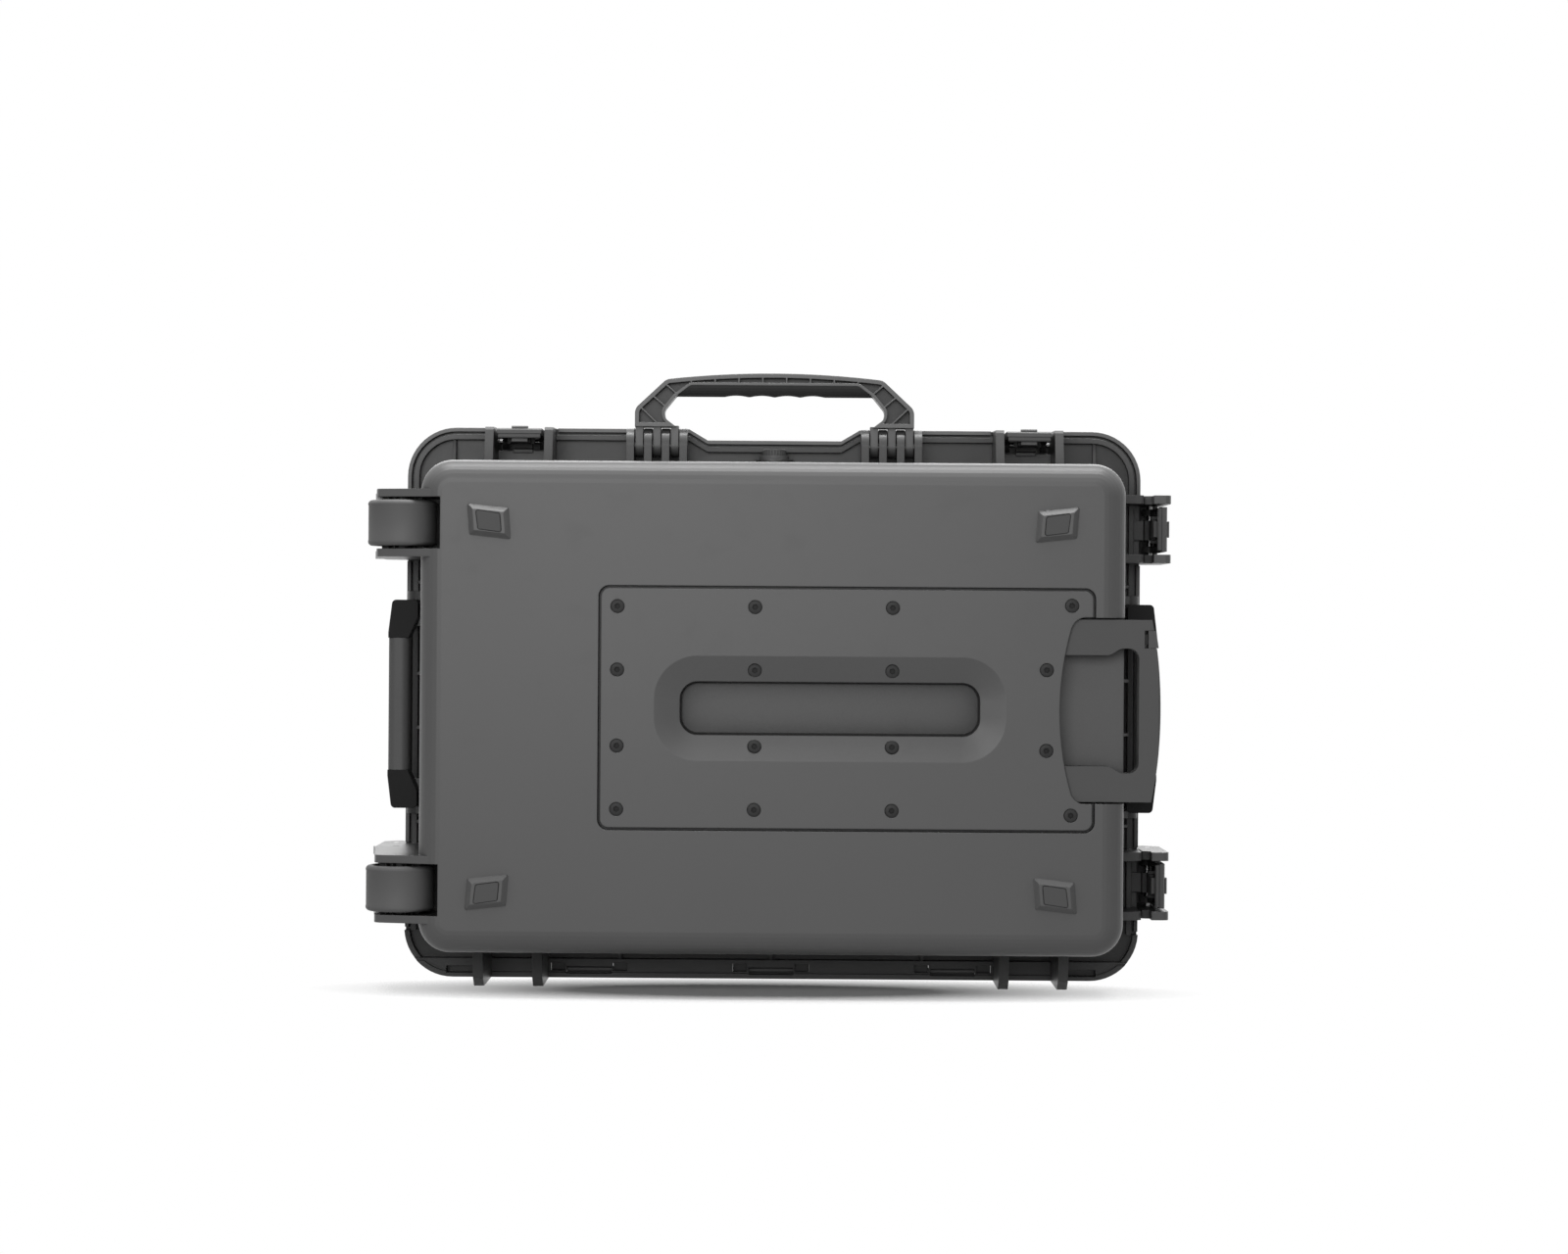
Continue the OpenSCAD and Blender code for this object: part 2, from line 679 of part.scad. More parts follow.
module base_shell() {
  color(shell_grey) difference() {
    union() {
      difference() {
        shell_form(base_d, edge_r, 0, z0);
        difference() {
          shell_form(base_d, edge_r, wall, -over);
          bay_walls();
          for (s = [-1, 1])
            wheel_pocket(s, wall);
        }
      }
      base_rim();
      knuckles(base_knuckle_x, base_knuckle_w, 1);
      stand_ribs(stand_base);
      for (l = latches) {
        if (l[0] >= 0)
          guards(l[0], l[1], lever_len);
        strike(l[0], l[1]);
      }
      for (s = [-1, 1])
        fork(s);
      handle_ears();
      for (k = [-1, 1])
        side_ears(k);
      for (f = foot_at)
        at_foot(f) foot_boss();
      valve_boss();
    }
    bay();
    for (s = [-1, 1]) {
      wheel_pocket(s, 0);
      at_axle(s) {
        translate([0, 0, -fork_gap / 2 - axle_blind]) cylinder(d = axle_d, h = fork_gap + 2 * fork_t);
        translate([0, 0, axle_end - axle_head_t - fit]) cylinder(d = axle_head_d + 2 * fit, h = 2 * fork_t);
      }
    }
    difference() {
      for (l = latches)
        latch_notch(l[0], l[1], -over, band_h + over);
      for (l = latches)
        strike(l[0], l[1]);
    }
    for (x = base_knuckle_x)
      rod(x, hinge_y, 0, hinge_pin_d, base_knuckle_w + 2 * over);
    // Windows in the apron over the knuckles, and the slots at its ends
    for (x = lid_knuckle_x)
      translate([x - lid_knuckle_w / 2, hinge_y - 2.8, apron_z - over]) cube([lid_knuckle_w, 6.3, 2 * apron_t]);
    for (x = base_knuckle_x)
      translate([x - base_knuckle_w / 2, hinge_y - 0.2, apron_z - over]) cube([base_knuckle_w, 7, 2 * apron_t]);
    for (s = [-1, 1])
      translate([s * apron_slot_x - 13, hinge_y - 2.8, z0 + 3]) cube([26, 6.3, 2 * apron_z]);
    for (s = [-1, 1])
      rod(s * handle_pitch / 2, handle_y, handle_z, handle_pin_d, handle_group + 2 * over);
    for (k = [-1, 1], s = [-1, 1])
      on_wall(k) rod(s * (side_w / 2 - side_arm_t / 2), side_axis, side_z, handle_pin_d,
        side_arm_t + 2 * side_ear_t + 4);
    for (f = foot_at)
      at_foot(f) translate([0, 0, foot_h - 2]) linear_extrude(3) offset(r = pad_gap) round_poly(pad_pts, 1.5);
    translate([0, valve_y - valve_in - over, valve_z]) rotate([-90, 0, 0]) cylinder(d = 14, h = 20);
  }
}

module rubber_feet() {
  color(rubber) for (f = foot_at)
    at_foot(f) translate([0, 0, foot_h - 2]) linear_extrude(2 + pad_h) round_poly(pad_pts, 1.5);
}

// Cover plate with its slot, dished round the edge
dish_r = 37.7;
dish_d = 5;
tray_t = 2.5;
end_cut = 12.6;
end_x = cover_end - 28.6;
end_r = (notch_y * notch_y + end_cut * end_cut) / (2 * end_cut);
end_corner = 14;
slot_hx = slot_l / 2 - slot_r;
slot_hy = slot_w / 2 - slot_r;

// How far the dish lies under the face of the plate at a point
function dish_drop(x, y) =
  let (r = norm([max(abs(x - slot_x) - slot_hx, 0), max(abs(y) - slot_hy, 0)]))
    dish_d * max(0, min(1, (dish_r - r) / (dish_r - slot_r)));
function seat_z(p) = base_d - dish_drop(p[0], p[1]) - screw_head_t;

module slot_profile(grow, top) {
  floor_z = base_d - slot_d;
  polygon([[0, floor_z - grow], [slot_r - 2 + grow, floor_z - grow], [slot_r - 1 + grow, floor_z + 1 - grow],
    [slot_r + grow, base_d - dish_d - grow], [dish_r + grow, base_d - (grow > 0 ? cover_t : 0)],
    [dish_r + grow, top], [0, top]]);
}

module trolley_cover() {
  color(shell_grey) difference() {
    union() {
      translate([cover_x, 0, plate_z]) linear_extrude(cover_t) difference() {
        rrect(cover_l, cover_w, 7.5);
        offset(r = end_corner) offset(delta = -end_corner) intersection() {
          translate([end_x - cover_x + end_r, 0]) circle(r = end_r, $fn = 160);
          translate([0, -notch_y - 0.5]) square([cover_l + 20, 2 * notch_y + 1]);
        }
      }
      translate([slot_x, 0, 0]) swept(slot_hx, slot_hy, base_d - slot_d - tray_t, base_d)
        slot_profile(tray_t, base_d);
      for (p = screw_xy, s = [-1, 1])
        translate([p[0], s * p[1], seat_z(p) - seat_t]) cylinder(d = boss_d, h = seat_t + 0.6);
    }
    translate([slot_x, 0, 0]) swept(slot_hx, slot_hy, base_d - slot_d, base_d + over)
      slot_profile(0, base_d + over);
    for (p = screw_xy, s = [-1, 1])
      translate([p[0], s * p[1], seat_z(p)]) {
        translate([0, 0, -9]) cylinder(d = screw_d + 0.6, h = 20);
        cylinder(d = screw_head_d + 0.8, h = 9);
      }
  }
}

module cover_screws() {
  color(steel) for (p = screw_xy, s = [-1, 1])
    translate([p[0], s * p[1], seat_z(p)]) difference() {
      union() {
        cylinder(d = screw_head_d, h = screw_head_t);
        translate([0, 0, plate_z + 3 - screw_l - seat_z(p)]) cylinder(d = screw_d, h = seat_z(p) + screw_l - plate_z - 3);
      }
      translate([0, 0, screw_head_t - 1]) cylinder(d = 5, h = 3, $fn = 6);
    }
}

module tube(len, w, h, t) {
  difference() {
    cube([len, w, h], center = true);
    cube([len + 2 * over, w - 2 * t, h - 2 * t], center = true);
  }
}

module outer_tubes() {
  color(alloy) for (s = [-1, 1])
    translate([(tube_x0 + tube_x1) / 2, s * tube_y, tube_z]) tube(tube_x1 - tube_x0, tube_w, tube_h, tube_wall);
}

// Collars clamp the outer tubes to the floor of the bay
collar_t = 3;
collar_at = [tube_x0 + 20, (tube_x0 + tube_x1) / 2, tube_x1 - 12];
module tube_collars() {
  color(rubber) for (s = [-1, 1], x = collar_at)
    translate([x, s * tube_y, 0]) difference() {
      translate([-6, -tube_w / 2 - collar_t, bay_z]) cube([12, tube_w + 2 * collar_t, tube_z + tube_h / 2 + 2 - bay_z]);
      translate([-7, -tube_w / 2, tube_z - tube_h / 2]) cube([14, tube_w, tube_h]);
    }
}

// Axles, put in from the outer plate, where the head lies in a counterbore
axle_blind = 4;
axle_head_t = 2.4;
axle_head_d = axle_d + 6;
axle_end = fork_gap / 2 + fork_t;
module wheel_axles() {
  color(steel) for (s = [-1, 1])
    at_axle(s) {
      translate([0, 0, -fork_gap / 2 - axle_blind]) cylinder(d = axle_d, h = axle_end + fork_gap / 2 + axle_blind - fit);
      translate([0, 0, axle_end - axle_head_t - fit]) cylinder(d = axle_head_d, h = axle_head_t);
    }
}

module carry_handle_pins() {
  color(steel) for (s = [-1, 1])
    rod(s * handle_pitch / 2, handle_y, handle_z, handle_pin_d, handle_group - leaf_gap);
}

module side_handle_pins() {
  color(steel) for (k = [-1, 1], s = [-1, 1])
    on_wall(k) rod(s * (side_w / 2 - side_arm_t / 2), side_axis, side_z, handle_pin_d,
      side_arm_t + 2 * side_ear_t + 2 * fit);
}

module hinge_pins() {
  color(steel) for (g = [-1 : 1])
    rod(g * hinge_pitch, hinge_y, 0, hinge_pin_d, hinge_pin_l);
}

module valve_body() {
  color(part_grey) translate([0, valve_y, valve_z]) rotate([-90, 0, 0]) {
    translate([0, 0, 2]) cylinder(d = valve_d, h = 4);
    translate([0, 0, -valve_in - 3]) cylinder(d = 14, h = valve_in + 6);
    translate([0, 0, -valve_in - 5]) cylinder(d = 22, h = 5);
  }
}

module valve_cap() {
  color(part_grey) translate([0, valve_y, valve_z]) rotate([-90, 0, 0]) difference() {
    translate([0, 0, 6]) cylinder(d = valve_cap_d, h = 6);
    for (a = [0 : 30 : 330])
      rotate([0, 0, a]) translate([valve_cap_d / 2, 0, 7]) cylinder(d = 2, h = 6);
  }
}

// Ring that the gasket lies in, with its outline at a distance out of the shell wall
module seal_ring(out) {
  rrect(2 * (half_x + out), 2 * (half_y + out), part_r + out);
}

module lid_rim() {
  hinge_edge = hinge_y + hinge_clear;
  mirror([0, 0, 1]) translate([0, 0, z0]) {
    linear_extrude(flange_t) difference() {
      rim_outline(0);
      cavity_outline();
      below(hinge_edge);
    }
    linear_extrude(gasket_t + 2.5) difference() {
      seal_ring(gasket_inset + gasket_w + 1.5);
      cavity_outline();
    }
    linear_extrude(band_h - z0) difference() {
      rim_outline(0);
      rim_outline(band_t);
      below(hinge_edge);
    }
    linear_extrude(band_h - z0) intersection() {
      difference() {
        rim_outline(0);
        below(hinge_edge);
      }
      below(hinge_edge + riser_t);
    }
  }
  // Lip over the edge of the base, left out between the guard ribs
  difference() {
    translate([0, 0, -z0 - over]) linear_extrude(lip_reach + z0 + over) difference() {
      rim_outline(0);
      rim_outline(lip_t);
      below(lip_end - rim_y);
    }
    for (l = latches)
      on_wall(l[0]) translate([l[1] - lip_cut, latch_face(l[0]) - 2 * notch_in, -z0])
        cube([2 * lip_cut, 3 * notch_in, 2 * lip_reach]);
  }
}

recess_d = foot_h + pad_h + 0.5;
panel_w = 400;
panel_h = 250;
module lid_shell() {
  color(shell_grey) difference() {
    union() {
      mirror([0, 0, 1]) difference() {
        shell_form(lid_d, lid_edge_r, 0, z0);
        difference() {
          shell_form(lid_d, lid_edge_r, wall, -over);
          for (f = foot_at)
            translate([f[0] * feet_x, f[1] * feet_y, lid_d - recess_d - wall])
              linear_extrude(recess_d) rrect(50, 44, 8);
        }
      }
      lid_rim();
      knuckles(lid_knuckle_x, lid_knuckle_w, -1);
      mirror([0, 0, 1]) {
        stand_ribs(stand_lid);
        for (l = latches)
          guards(l[0], l[1], lid_guard_len);
      }
      for (l = latches) {
        latch_web(l[0], l[1]);
        if (l[0] != 0)
          lid_guards(l[0], l[1]);
      }
    }
    // Recesses that take the feet of a case stacked on top, and a shallow panel
    for (f = foot_at)
      translate([f[0] * feet_x, f[1] * feet_y, -lid_d - over])
        linear_extrude(recess_d + over) rrect(42, 36, 6);
    translate([0, 0, -lid_d - over]) linear_extrude(over + 1.5) rrect(panel_w, panel_h, 20);
    for (l = latches) {
      latch_notch(l[0], l[1], -band_h - over, over);
      on_wall(l[0]) rod(l[1], latch_face(l[0]) - latch_pin_in, -latch_pin_z, latch_pin_d, 2 * guard_half + 2);
    }
    translate([0, 0, -z0 - gasket_t]) linear_extrude(gasket_t + over) difference() {
      seal_ring(gasket_inset + gasket_w);
      seal_ring(gasket_inset);
    }
    for (x = lid_knuckle_x)
      rod(x, hinge_y, 0, hinge_pin_d + pin_fit, lid_knuckle_w + 2 * over);
  }
}

module lid_gasket() {
  color(rubber) translate([0, 0, -z0 - gasket_t]) linear_extrude(gasket_t) difference() {
    seal_ring(gasket_inset + gasket_w);
    seal_ring(gasket_inset);
  }
}

module latch_pins() {
  color(steel) for (l = latches)
    on_wall(l[0]) rod(l[1], latch_face(l[0]) - latch_pin_in, -latch_pin_z, latch_pin_d, 2 * guard_half);
}

// Lever of a latch, closed: a face with turned-in edges, cheeks at its pin and lugs for the claw
edge_t = 2.6;
cheek_t = 6;
lug_t = 3;
lug_r = 3.2;
nose_r = claw_z - strike_t - claw_play;
nose_a = asin((claw_nose - claw_in) / nose_r);
claw_body_w = 18;
lug_u = claw_body_w / 2 + fit + lug_t / 2;
button_z0 = claw_z + 12;
button_z1 = claw_z + 22;
module latch_lever(i) {
  k = latches[i][0];
  f = latch_face(k);
  pin_y = f - latch_pin_in;
  color(part_grey) on_wall(k) translate([latches[i][1], 0, 0]) difference() {
    union() {
      along(0, latch_w) polygon([[f - lever_t, -lever_back + 3], [f - 4, -lever_back + 1], [f - 1, -lever_back],
        [f, -lever_back + 2], [f, lever_len - 5], [f - 1.5, lever_len], [f - 5, lever_len], [f - lever_t, lever_len - 5]]);
      along(0, latch_w - 2) polygon([[f - 9, lever_len - 4], [f - 2, lever_len - 4], [f - 2, lever_len - 0.5],
        [f - 8, lever_len - 0.5], [f - 9, lever_len - 1.5]]);
      for (s = [-1, 1]) {
        along(s * (latch_w - edge_t) / 2, edge_t)
          polygon([[f - 6.5, -lever_back + 4], [f - 1, -lever_back + 1], [f - 1, lever_len - 2], [f - 6.5, lever_len - 4]]);
        along(s * (latch_w - cheek_t) / 2, cheek_t) union() {
          translate([pin_y, -latch_pin_z]) circle(r = pin_block);
          polygon([[pin_y, -latch_pin_z - pin_block], [f - 1, -latch_pin_z - pin_block], [f - 1, -2],
            [pin_y + 3, -2], [pin_y, -latch_pin_z + pin_block]]);
        }
        along(s * lug_u, lug_t) union() {
          translate([f - claw_in, claw_z]) circle(r = lug_r);
          polygon([[f - claw_in, claw_z - lug_r], [f - 1, claw_z - 5], [f - 1, claw_z + 5], [f - claw_in, claw_z + lug_r]]);
        }
      }
    }
    rod(0, pin_y, -latch_pin_z, latch_pin_d + pin_fit, latch_w + 2);
    rod(0, f - claw_in, claw_z, claw_pin_d + pin_fit, 2 * lug_u + lug_t + 0.1);
    // Window for the button
    translate([-claw_w / 2 - 0.4, f - 8, button_z0 - 0.4]) cube([claw_w + 0.8, 10, button_z1 - button_z0 + 3.4]);
    // Shallow field round the button
    translate([-latch_w / 2 + 5, f - 0.8, 4]) cube([latch_w - 10, 2, claw_z + 4]);
  }
}

// Claw of a latch with its button: pushing the button swings the nose out from under the strike
module latch_claw(i) {
  k = latches[i][0];
  f = latch_face(k);
  nose_z = strike_t + 1.2;
  color(part_grey) on_wall(k) translate([latches[i][1], 0, 0]) {
    along(0, claw_body_w)
      polygon(concat(arc([f - claw_in, claw_z], nose_r, 270 - nose_a, 273.6), [[f - claw_in + 1.5, claw_z - 3],
        [f - claw_in + 4, claw_z], [f - claw_in + 1.5, claw_z + 3], [f - claw_in + 1.5, button_z0 - 3],
        [f - claw_in - 2, button_z0 - 3], [f - claw_in - 2.4, claw_z], [f - claw_in - 2, claw_z - 6],
        [f - claw_in - 2, nose_z + 5], [f - claw_nose + 1, nose_z + 4]]));
    along(0, claw_w)
      polygon([[f - claw_in - 2, button_z0 - 4], [f - claw_in + 1.5, button_z0 - 4], [f - claw_in + 1.5, button_z0],
        [f + button_out - 1, button_z0], [f + button_out, button_z0 + 2], [f + button_out, button_z1 - 2],
        [f + button_out - 1, button_z1], [f - claw_in - 2, button_z1]]);
    rod(0, f - claw_in, claw_z, claw_pin_d, 2 * lug_u + lug_t);
  }
}

// Carry handle, drawn raised: an arched frame on six tines, with a web stiffened by ribs
handle_half = handle_pitch / 2 + handle_group / 2 - leaf;
tine_r = 10;
handle_top = handle_y + handle_rise;
arch_half = 98.6;
arch_sag = 5.8;
arch_r = (arch_half * arch_half + arch_sag * arch_sag) / (2 * arch_sag);
arch_a = asin(arch_half / arch_r);
body_y = handle_y + carry_ear_r + 1;
web_t = 4;
corner_drop = 32.5;
frame_band = 3.9;
web_rib_t = 1.4;
web_rib_pitch = 21.7;
// Ribs in the shoulders: place from the middle, drop from the top, angle and length
shoulder_ribs = [[95.4, 13.5, 40.4, 16], [106.1, 24.9, 40.3, 18], [110.7, 42, 43.6, 31]];
opening_band = 2.6;

module mirrored() {
  children();
  mirror([1, 0, 0]) children();
}

module handle_outline() {
  intersection() {
    offset(r = 10) offset(delta = -10)
      polygon(concat([[handle_half, body_y - 20], [handle_half, handle_top - corner_drop]],
        arc([0, handle_top - arch_r], arch_r, 90 - arch_a, 90 + arch_a, 16),
        [[-handle_half, handle_top - corner_drop], [-handle_half, body_y - 20]]));
    translate([-handle_half, body_y]) square([2 * handle_half, handle_rise]);
  }
}

module handle_opening() {
  inner = handle_pitch / 2 - handle_group / 2 + leaf;
  top = handle_top;
  offset(r = 7) offset(delta = -7) polygon([[inner, body_y - 20], [inner, body_y - 2], [99.5, top - 41.5],
    [100.5, top - 34], [90, top - 21], [76.5, top - 11], [-76.5, top - 11], [-90, top - 21],
    [-100.5, top - 34], [-99.5, top - 41.5], [-inner, body_y - 2], [-inner, body_y - 20]]);
}

module handle_frame() {
  difference() {
    handle_outline();
    handle_opening();
  }
}

module handle_ribs() {
  mirrored() {
    for (i = [0 : 3])
      translate([web_rib_pitch * (i + 0.5) - web_rib_t / 2, handle_top - 40]) square([web_rib_t, 60]);
    for (r = shoulder_ribs)
      translate([r[0], handle_top - r[1]]) rotate([0, 0, r[2]]) square([r[3], web_rib_t], center = true);
  }
}

module carry_handle() {
  color(shell_grey) difference() {
    union() {
      translate([0, 0, handle_z - handle_t / 2]) linear_extrude(handle_t) handle_frame();
      for (s = [-1, 1], i = [1 : 2 : 5])
        along(s * handle_pitch / 2 + (i - 3) * leaf, leaf - leaf_gap) union() {
          translate([handle_y, handle_z]) circle(r = tine_r);
          translate([handle_y, handle_z - tine_r]) square([body_y - handle_y + over, 2 * tine_r]);
        }
    }
    for (s = [-1, 1]) {
      translate([0, 0, handle_z + s * (handle_t / 2 - (handle_t - web_t) / 4)])
        linear_extrude((handle_t - web_t) / 2 + 0.01, center = true) difference() {
          offset(delta = -frame_band) handle_outline();
          offset(delta = opening_band) handle_opening();
          handle_ribs();
        }
      rod(s * handle_pitch / 2, handle_y, handle_z, handle_pin_d + pin_fit, handle_group + 2);
    }
  }
}

// Soft grip under the arch, with four finger scallops
grip_low = handle_top - 21;
grip_deep = 10;
module carry_handle_grip() {
  color(part_grey) intersection() {
    translate([0, 0, handle_z - handle_t / 2 - 1]) linear_extrude(handle_t + 2) difference() {
      intersection() {
        handle_opening();
        translate([-handle_half, grip_low]) square([2 * handle_half, 2 * grip_deep]);
      }
      mirrored() for (x = [11.65, 34.95])
        translate([x, grip_low - 34.2]) circle(r = 36);
    }
    along(0, 2 * handle_half) polygon(
      [for (a = [0 : 15 : 180]) [handle_top - 11 - grip_deep * sin(a), handle_z + (handle_t / 2 + 1) * cos(a)]]);
  }
}

// Side handle, folded against the wall: two arms and a bowed bar
side_arm_in = 8;
side_arm_out = 15;
side_bow = 18.5;
bar_in = 0;
module side_handle_plan() {
  offset(r = 4) offset(delta = -4)
    polygon([[-side_w / 2, -side_arm_in], [-side_w / 2, side_arm_out], [-side_grip_w / 2, side_bow],
      [side_grip_w / 2, side_bow], [side_w / 2, side_arm_out], [side_w / 2, -side_arm_in],
      [side_w / 2 - side_arm_t, -side_arm_in], [side_grip_w / 2 - 4, bar_in], [4 - side_grip_w / 2, bar_in],
      [side_arm_t - side_w / 2, -side_arm_in]]);
}

module side_handle(k) {
  grip_z = side_z + side_len;
  color(shell_grey) on_wall(k) difference() {
    union() {
      translate([0, side_axis, grip_z - side_grip_t / 2]) linear_extrude(side_grip_t) side_handle_plan();
      for (s = [-1, 1])
        along(s * (side_w - side_arm_t) / 2, side_arm_t) union() {
          translate([side_axis, side_z]) circle(r = side_arm_in);
          translate([side_axis - side_arm_in, side_z]) square([2 * side_arm_in, side_len - side_grip_t / 2 + over]);
        }
    }
    // Waist in the bar for its soft sleeve
    along(0, sleeve_l) translate([side_axis + (side_bow + bar_in) / 2, grip_z]) difference() {
      square([side_bow - bar_in + 2, side_grip_t + 2], center = true);
      square([side_bow - bar_in - 2 * sleeve_t, side_grip_t - 2 * sleeve_t], center = true);
    }
    for (s = [-1, 1])
      rod(s * (side_w - side_arm_t) / 2, side_axis, side_z, handle_pin_d + pin_fit, side_arm_t + 2);
  }
}

// Soft sleeve round the bar of a side handle
sleeve_t = 2.5;
sleeve_r = 7;
sleeve_l = side_grip_w - 10;
module side_sleeve(k) {
  color(part_grey) on_wall(k) along(0, sleeve_l)
    translate([side_axis + (side_bow + bar_in) / 2, side_z + side_len]) difference() {
      rrect(side_bow - bar_in, side_grip_t, sleeve_r);
      square([side_bow - bar_in - 2 * sleeve_t, side_grip_t - 2 * sleeve_t], center = true);
    }
}

// Trolley grip: two arms and a bowed bar
arm_x0 = tube_x1 + 5;
bar_out = rim_x + 0.4;
bar_x = bar_out - 19;
bar_bow = 6.3;
bow_half = grip_w / 2 - 8;
flare = 6;
flare_x = bar_x - 27.6;
flare_l = 14;
opening_r = 9;
grip_screw_x = [12, 30];
grip_screw_d = 3.5;
bow_r = (bow_half * bow_half + bar_bow * bar_bow) / (2 * bar_bow);
socket_l = 40;
inner_w = tube_w - 2 * tube_wall - 2 * tube_play;
inner_h = tube_h - 2 * tube_wall - 2 * tube_play;
inner_x0 = tube_x0 + 6;
inner_x1 = arm_x0 + socket_l;
trigger_y = 62.2;
trigger_w = 15;
trigger_press = 3;
trigger_out = 1.5;
head_x = bar_out - 11;
stem_w = 9;
stem_t = 9;
stem_x = head_x - 16.6;
spring_l = 7;
spring_free = 3.2;

// Opening of the grip: its arms flare out towards the bar in a smooth curve
module grip_opening() {
  arm_in = grip_w / 2 - arm_w;
  wide = arm_in + flare;
  edge = concat([[arm_x0 - over, arm_in]],
    [for (t = [0 : 0.125 : 1]) [flare_x + flare_l * t, arm_in + flare * (1 - cos(180 * t)) / 2]],
    arc([bar_x - opening_r, wide - opening_r], opening_r, 90, 0));
  mirrored_y() polygon(concat(edge, [[bar_x, -over], [arm_x0 - over, -over]]));
}

module mirrored_y() {
  children();
  mirror([0, 1, 0]) children();
}

module grip_plan() {
  difference() {
    intersection() {
      translate([(arm_x0 + bar_out) / 2, 0]) rrect(bar_out - arm_x0, grip_w, 8);
      translate([bar_out - bow_r, 0]) circle(r = bow_r, $fn = 256);
    }
    grip_opening();
  }
}

module trolley_grip() {
  color(part_grey) difference() {
    translate([0, 0, tube_z - grip_t / 2]) linear_extrude(grip_t) grip_plan();
    for (s = [-1, 1]) {
      translate([arm_x0 - over, s * tube_y - inner_w / 2, tube_z - inner_h / 2])
        cube([socket_l + over, inner_w, inner_h]);
      for (x = grip_screw_x)
        translate([arm_x0 + x, s * tube_y, tube_z - grip_t]) cylinder(d = grip_screw_d, h = grip_t);
    }
    // Notch for the head of the trigger, and the channel of its stem and spring
    translate([head_x - trigger_press - fit, trigger_y - trigger_w / 2 - fit, tube_z - grip_t])
      cube([60, trigger_w + 2 * fit, 2 * grip_t]);
    translate([stem_x - spring_l, trigger_y - stem_w / 2 - fit, tube_z - stem_t / 2 - fit])
      cube([60, stem_w + 2 * fit, stem_t + 2 * fit]);
    grip_edges(0);
  }
}

// Bevels along the outer edges of the bar
module grip_edges(out) {
  for (s = [-1, 1])
    translate([bar_out + out + 1.5, 0, tube_z + s * (grip_t / 2 + 1.5)]) rotate([90, 45, 0])
      cube([7, 7, 2 * grip_w], center = true);
}

module inner_tubes() {
  color(alloy) for (s = [-1, 1])
    difference() {
      translate([(inner_x0 + inner_x1) / 2, s * tube_y, tube_z])
        tube(inner_x1 - inner_x0, inner_w, inner_h, tube_wall);
      for (x = grip_screw_x)
        translate([arm_x0 + x, s * tube_y, tube_z - grip_t]) cylinder(d = grip_screw_d, h = grip_t);
    }
}

// Plugs at the inner ends of the inner tubes, which guide them in the outer ones
guide_l = 5;
module tube_guides() {
  color(rubber) for (s = [-1, 1])
    translate([inner_x0, s * tube_y, tube_z]) difference() {
      union() {
        translate([-guide_l / 2, 0, 0])
          cube([guide_l, tube_w - 2 * tube_wall - fit, tube_h - 2 * tube_wall - fit], center = true);
        translate([10, 0, 0]) cube([20, inner_w - 2 * tube_wall, inner_h - 2 * tube_wall], center = true);
      }
      translate([10, 0, 0]) rotate([90, 0, 0]) cylinder(d = 5, h = tube_w, center = true);
      translate([8, 0, 0]) rotate([0, 90, 0]) cylinder(d = 4.4, h = 20);
    }
}

module release_rods() {
  color(steel) for (s = [-1, 1])
    translate([inner_x0 + 13, s * tube_y, tube_z]) rotate([0, 90, 0])
      cylinder(d = 4, h = inner_x1 - inner_x0 - 13);
}

module lock_bolts() {
  color(steel) for (s = [-1, 1])
    translate([inner_x0 + 10, s * tube_y, tube_z]) rotate([90, 0, 0])
      cylinder(d = 5, h = inner_w - 2 * tube_wall, center = true);
}

// Screws from the back of the grip into the inner tubes
module grip_screws() {
  screw_top = tube_z - inner_h / 2 + tube_wall;
  screw_low = tube_z - grip_t / 2 + 0.5;
  color(steel) for (s = [-1, 1], x = grip_screw_x)
    translate([arm_x0 + x, s * tube_y, screw_low]) difference() {
      cylinder(d = grip_screw_d, h = screw_top - screw_low);
      translate([0, 0, -over]) cylinder(d = 2, h = 1.5 + over, $fn = 6);
    }
}

module trolley_trigger() {
  color(rubber) union() {
    difference() {
      translate([0, trigger_y - trigger_w / 2, tube_z - grip_t / 2]) linear_extrude(grip_t)
        translate([0, trigger_w / 2 - trigger_y]) intersection() {
          translate([head_x, trigger_y - trigger_w / 2]) square([40, trigger_w]);
          translate([bar_out + trigger_out - bow_r, 0]) circle(r = bow_r, $fn = 256);
        }
      grip_edges(trigger_out);
    }
    translate([stem_x, trigger_y - stem_w / 2, tube_z - stem_t / 2]) cube([head_x - stem_x + over, stem_w, stem_t]);
  }
}

module trigger_spring() {
  color(steel) translate([stem_x - spring_l, trigger_y, tube_z]) rotate([0, 90, 0])
    difference() {
      cylinder(d = 7, h = spring_l - spring_free);
      translate([0, 0, -over]) cylinder(d = 5, h = spring_l + 2);
    }
}

// Wheels
hub_d = 44;
bush_d = 16;
tyre_r = 5.5;
module tyre(s) {
  color(rubber) at_wheel(s) rotate_extrude() difference() {
    union() {
      translate([hub_d / 2, -wheel_w / 2 + tyre_r]) square([(wheel_d - hub_d) / 2, wheel_w - 2 * tyre_r]);
      translate([hub_d / 2, -wheel_w / 2]) square([(wheel_d - hub_d) / 2 - tyre_r, wheel_w]);
      for (t = [-1, 1])
        translate([wheel_d / 2 - tyre_r, t * (wheel_w / 2 - tyre_r)]) circle(r = tyre_r);
    }
  }
}

module hub(s) {
  color(part_grey) at_wheel(s) difference() {
    cylinder(d = hub_d, h = wheel_w - 4, center = true);
    cylinder(d = bush_d, h = wheel_w, center = true);
  }
}

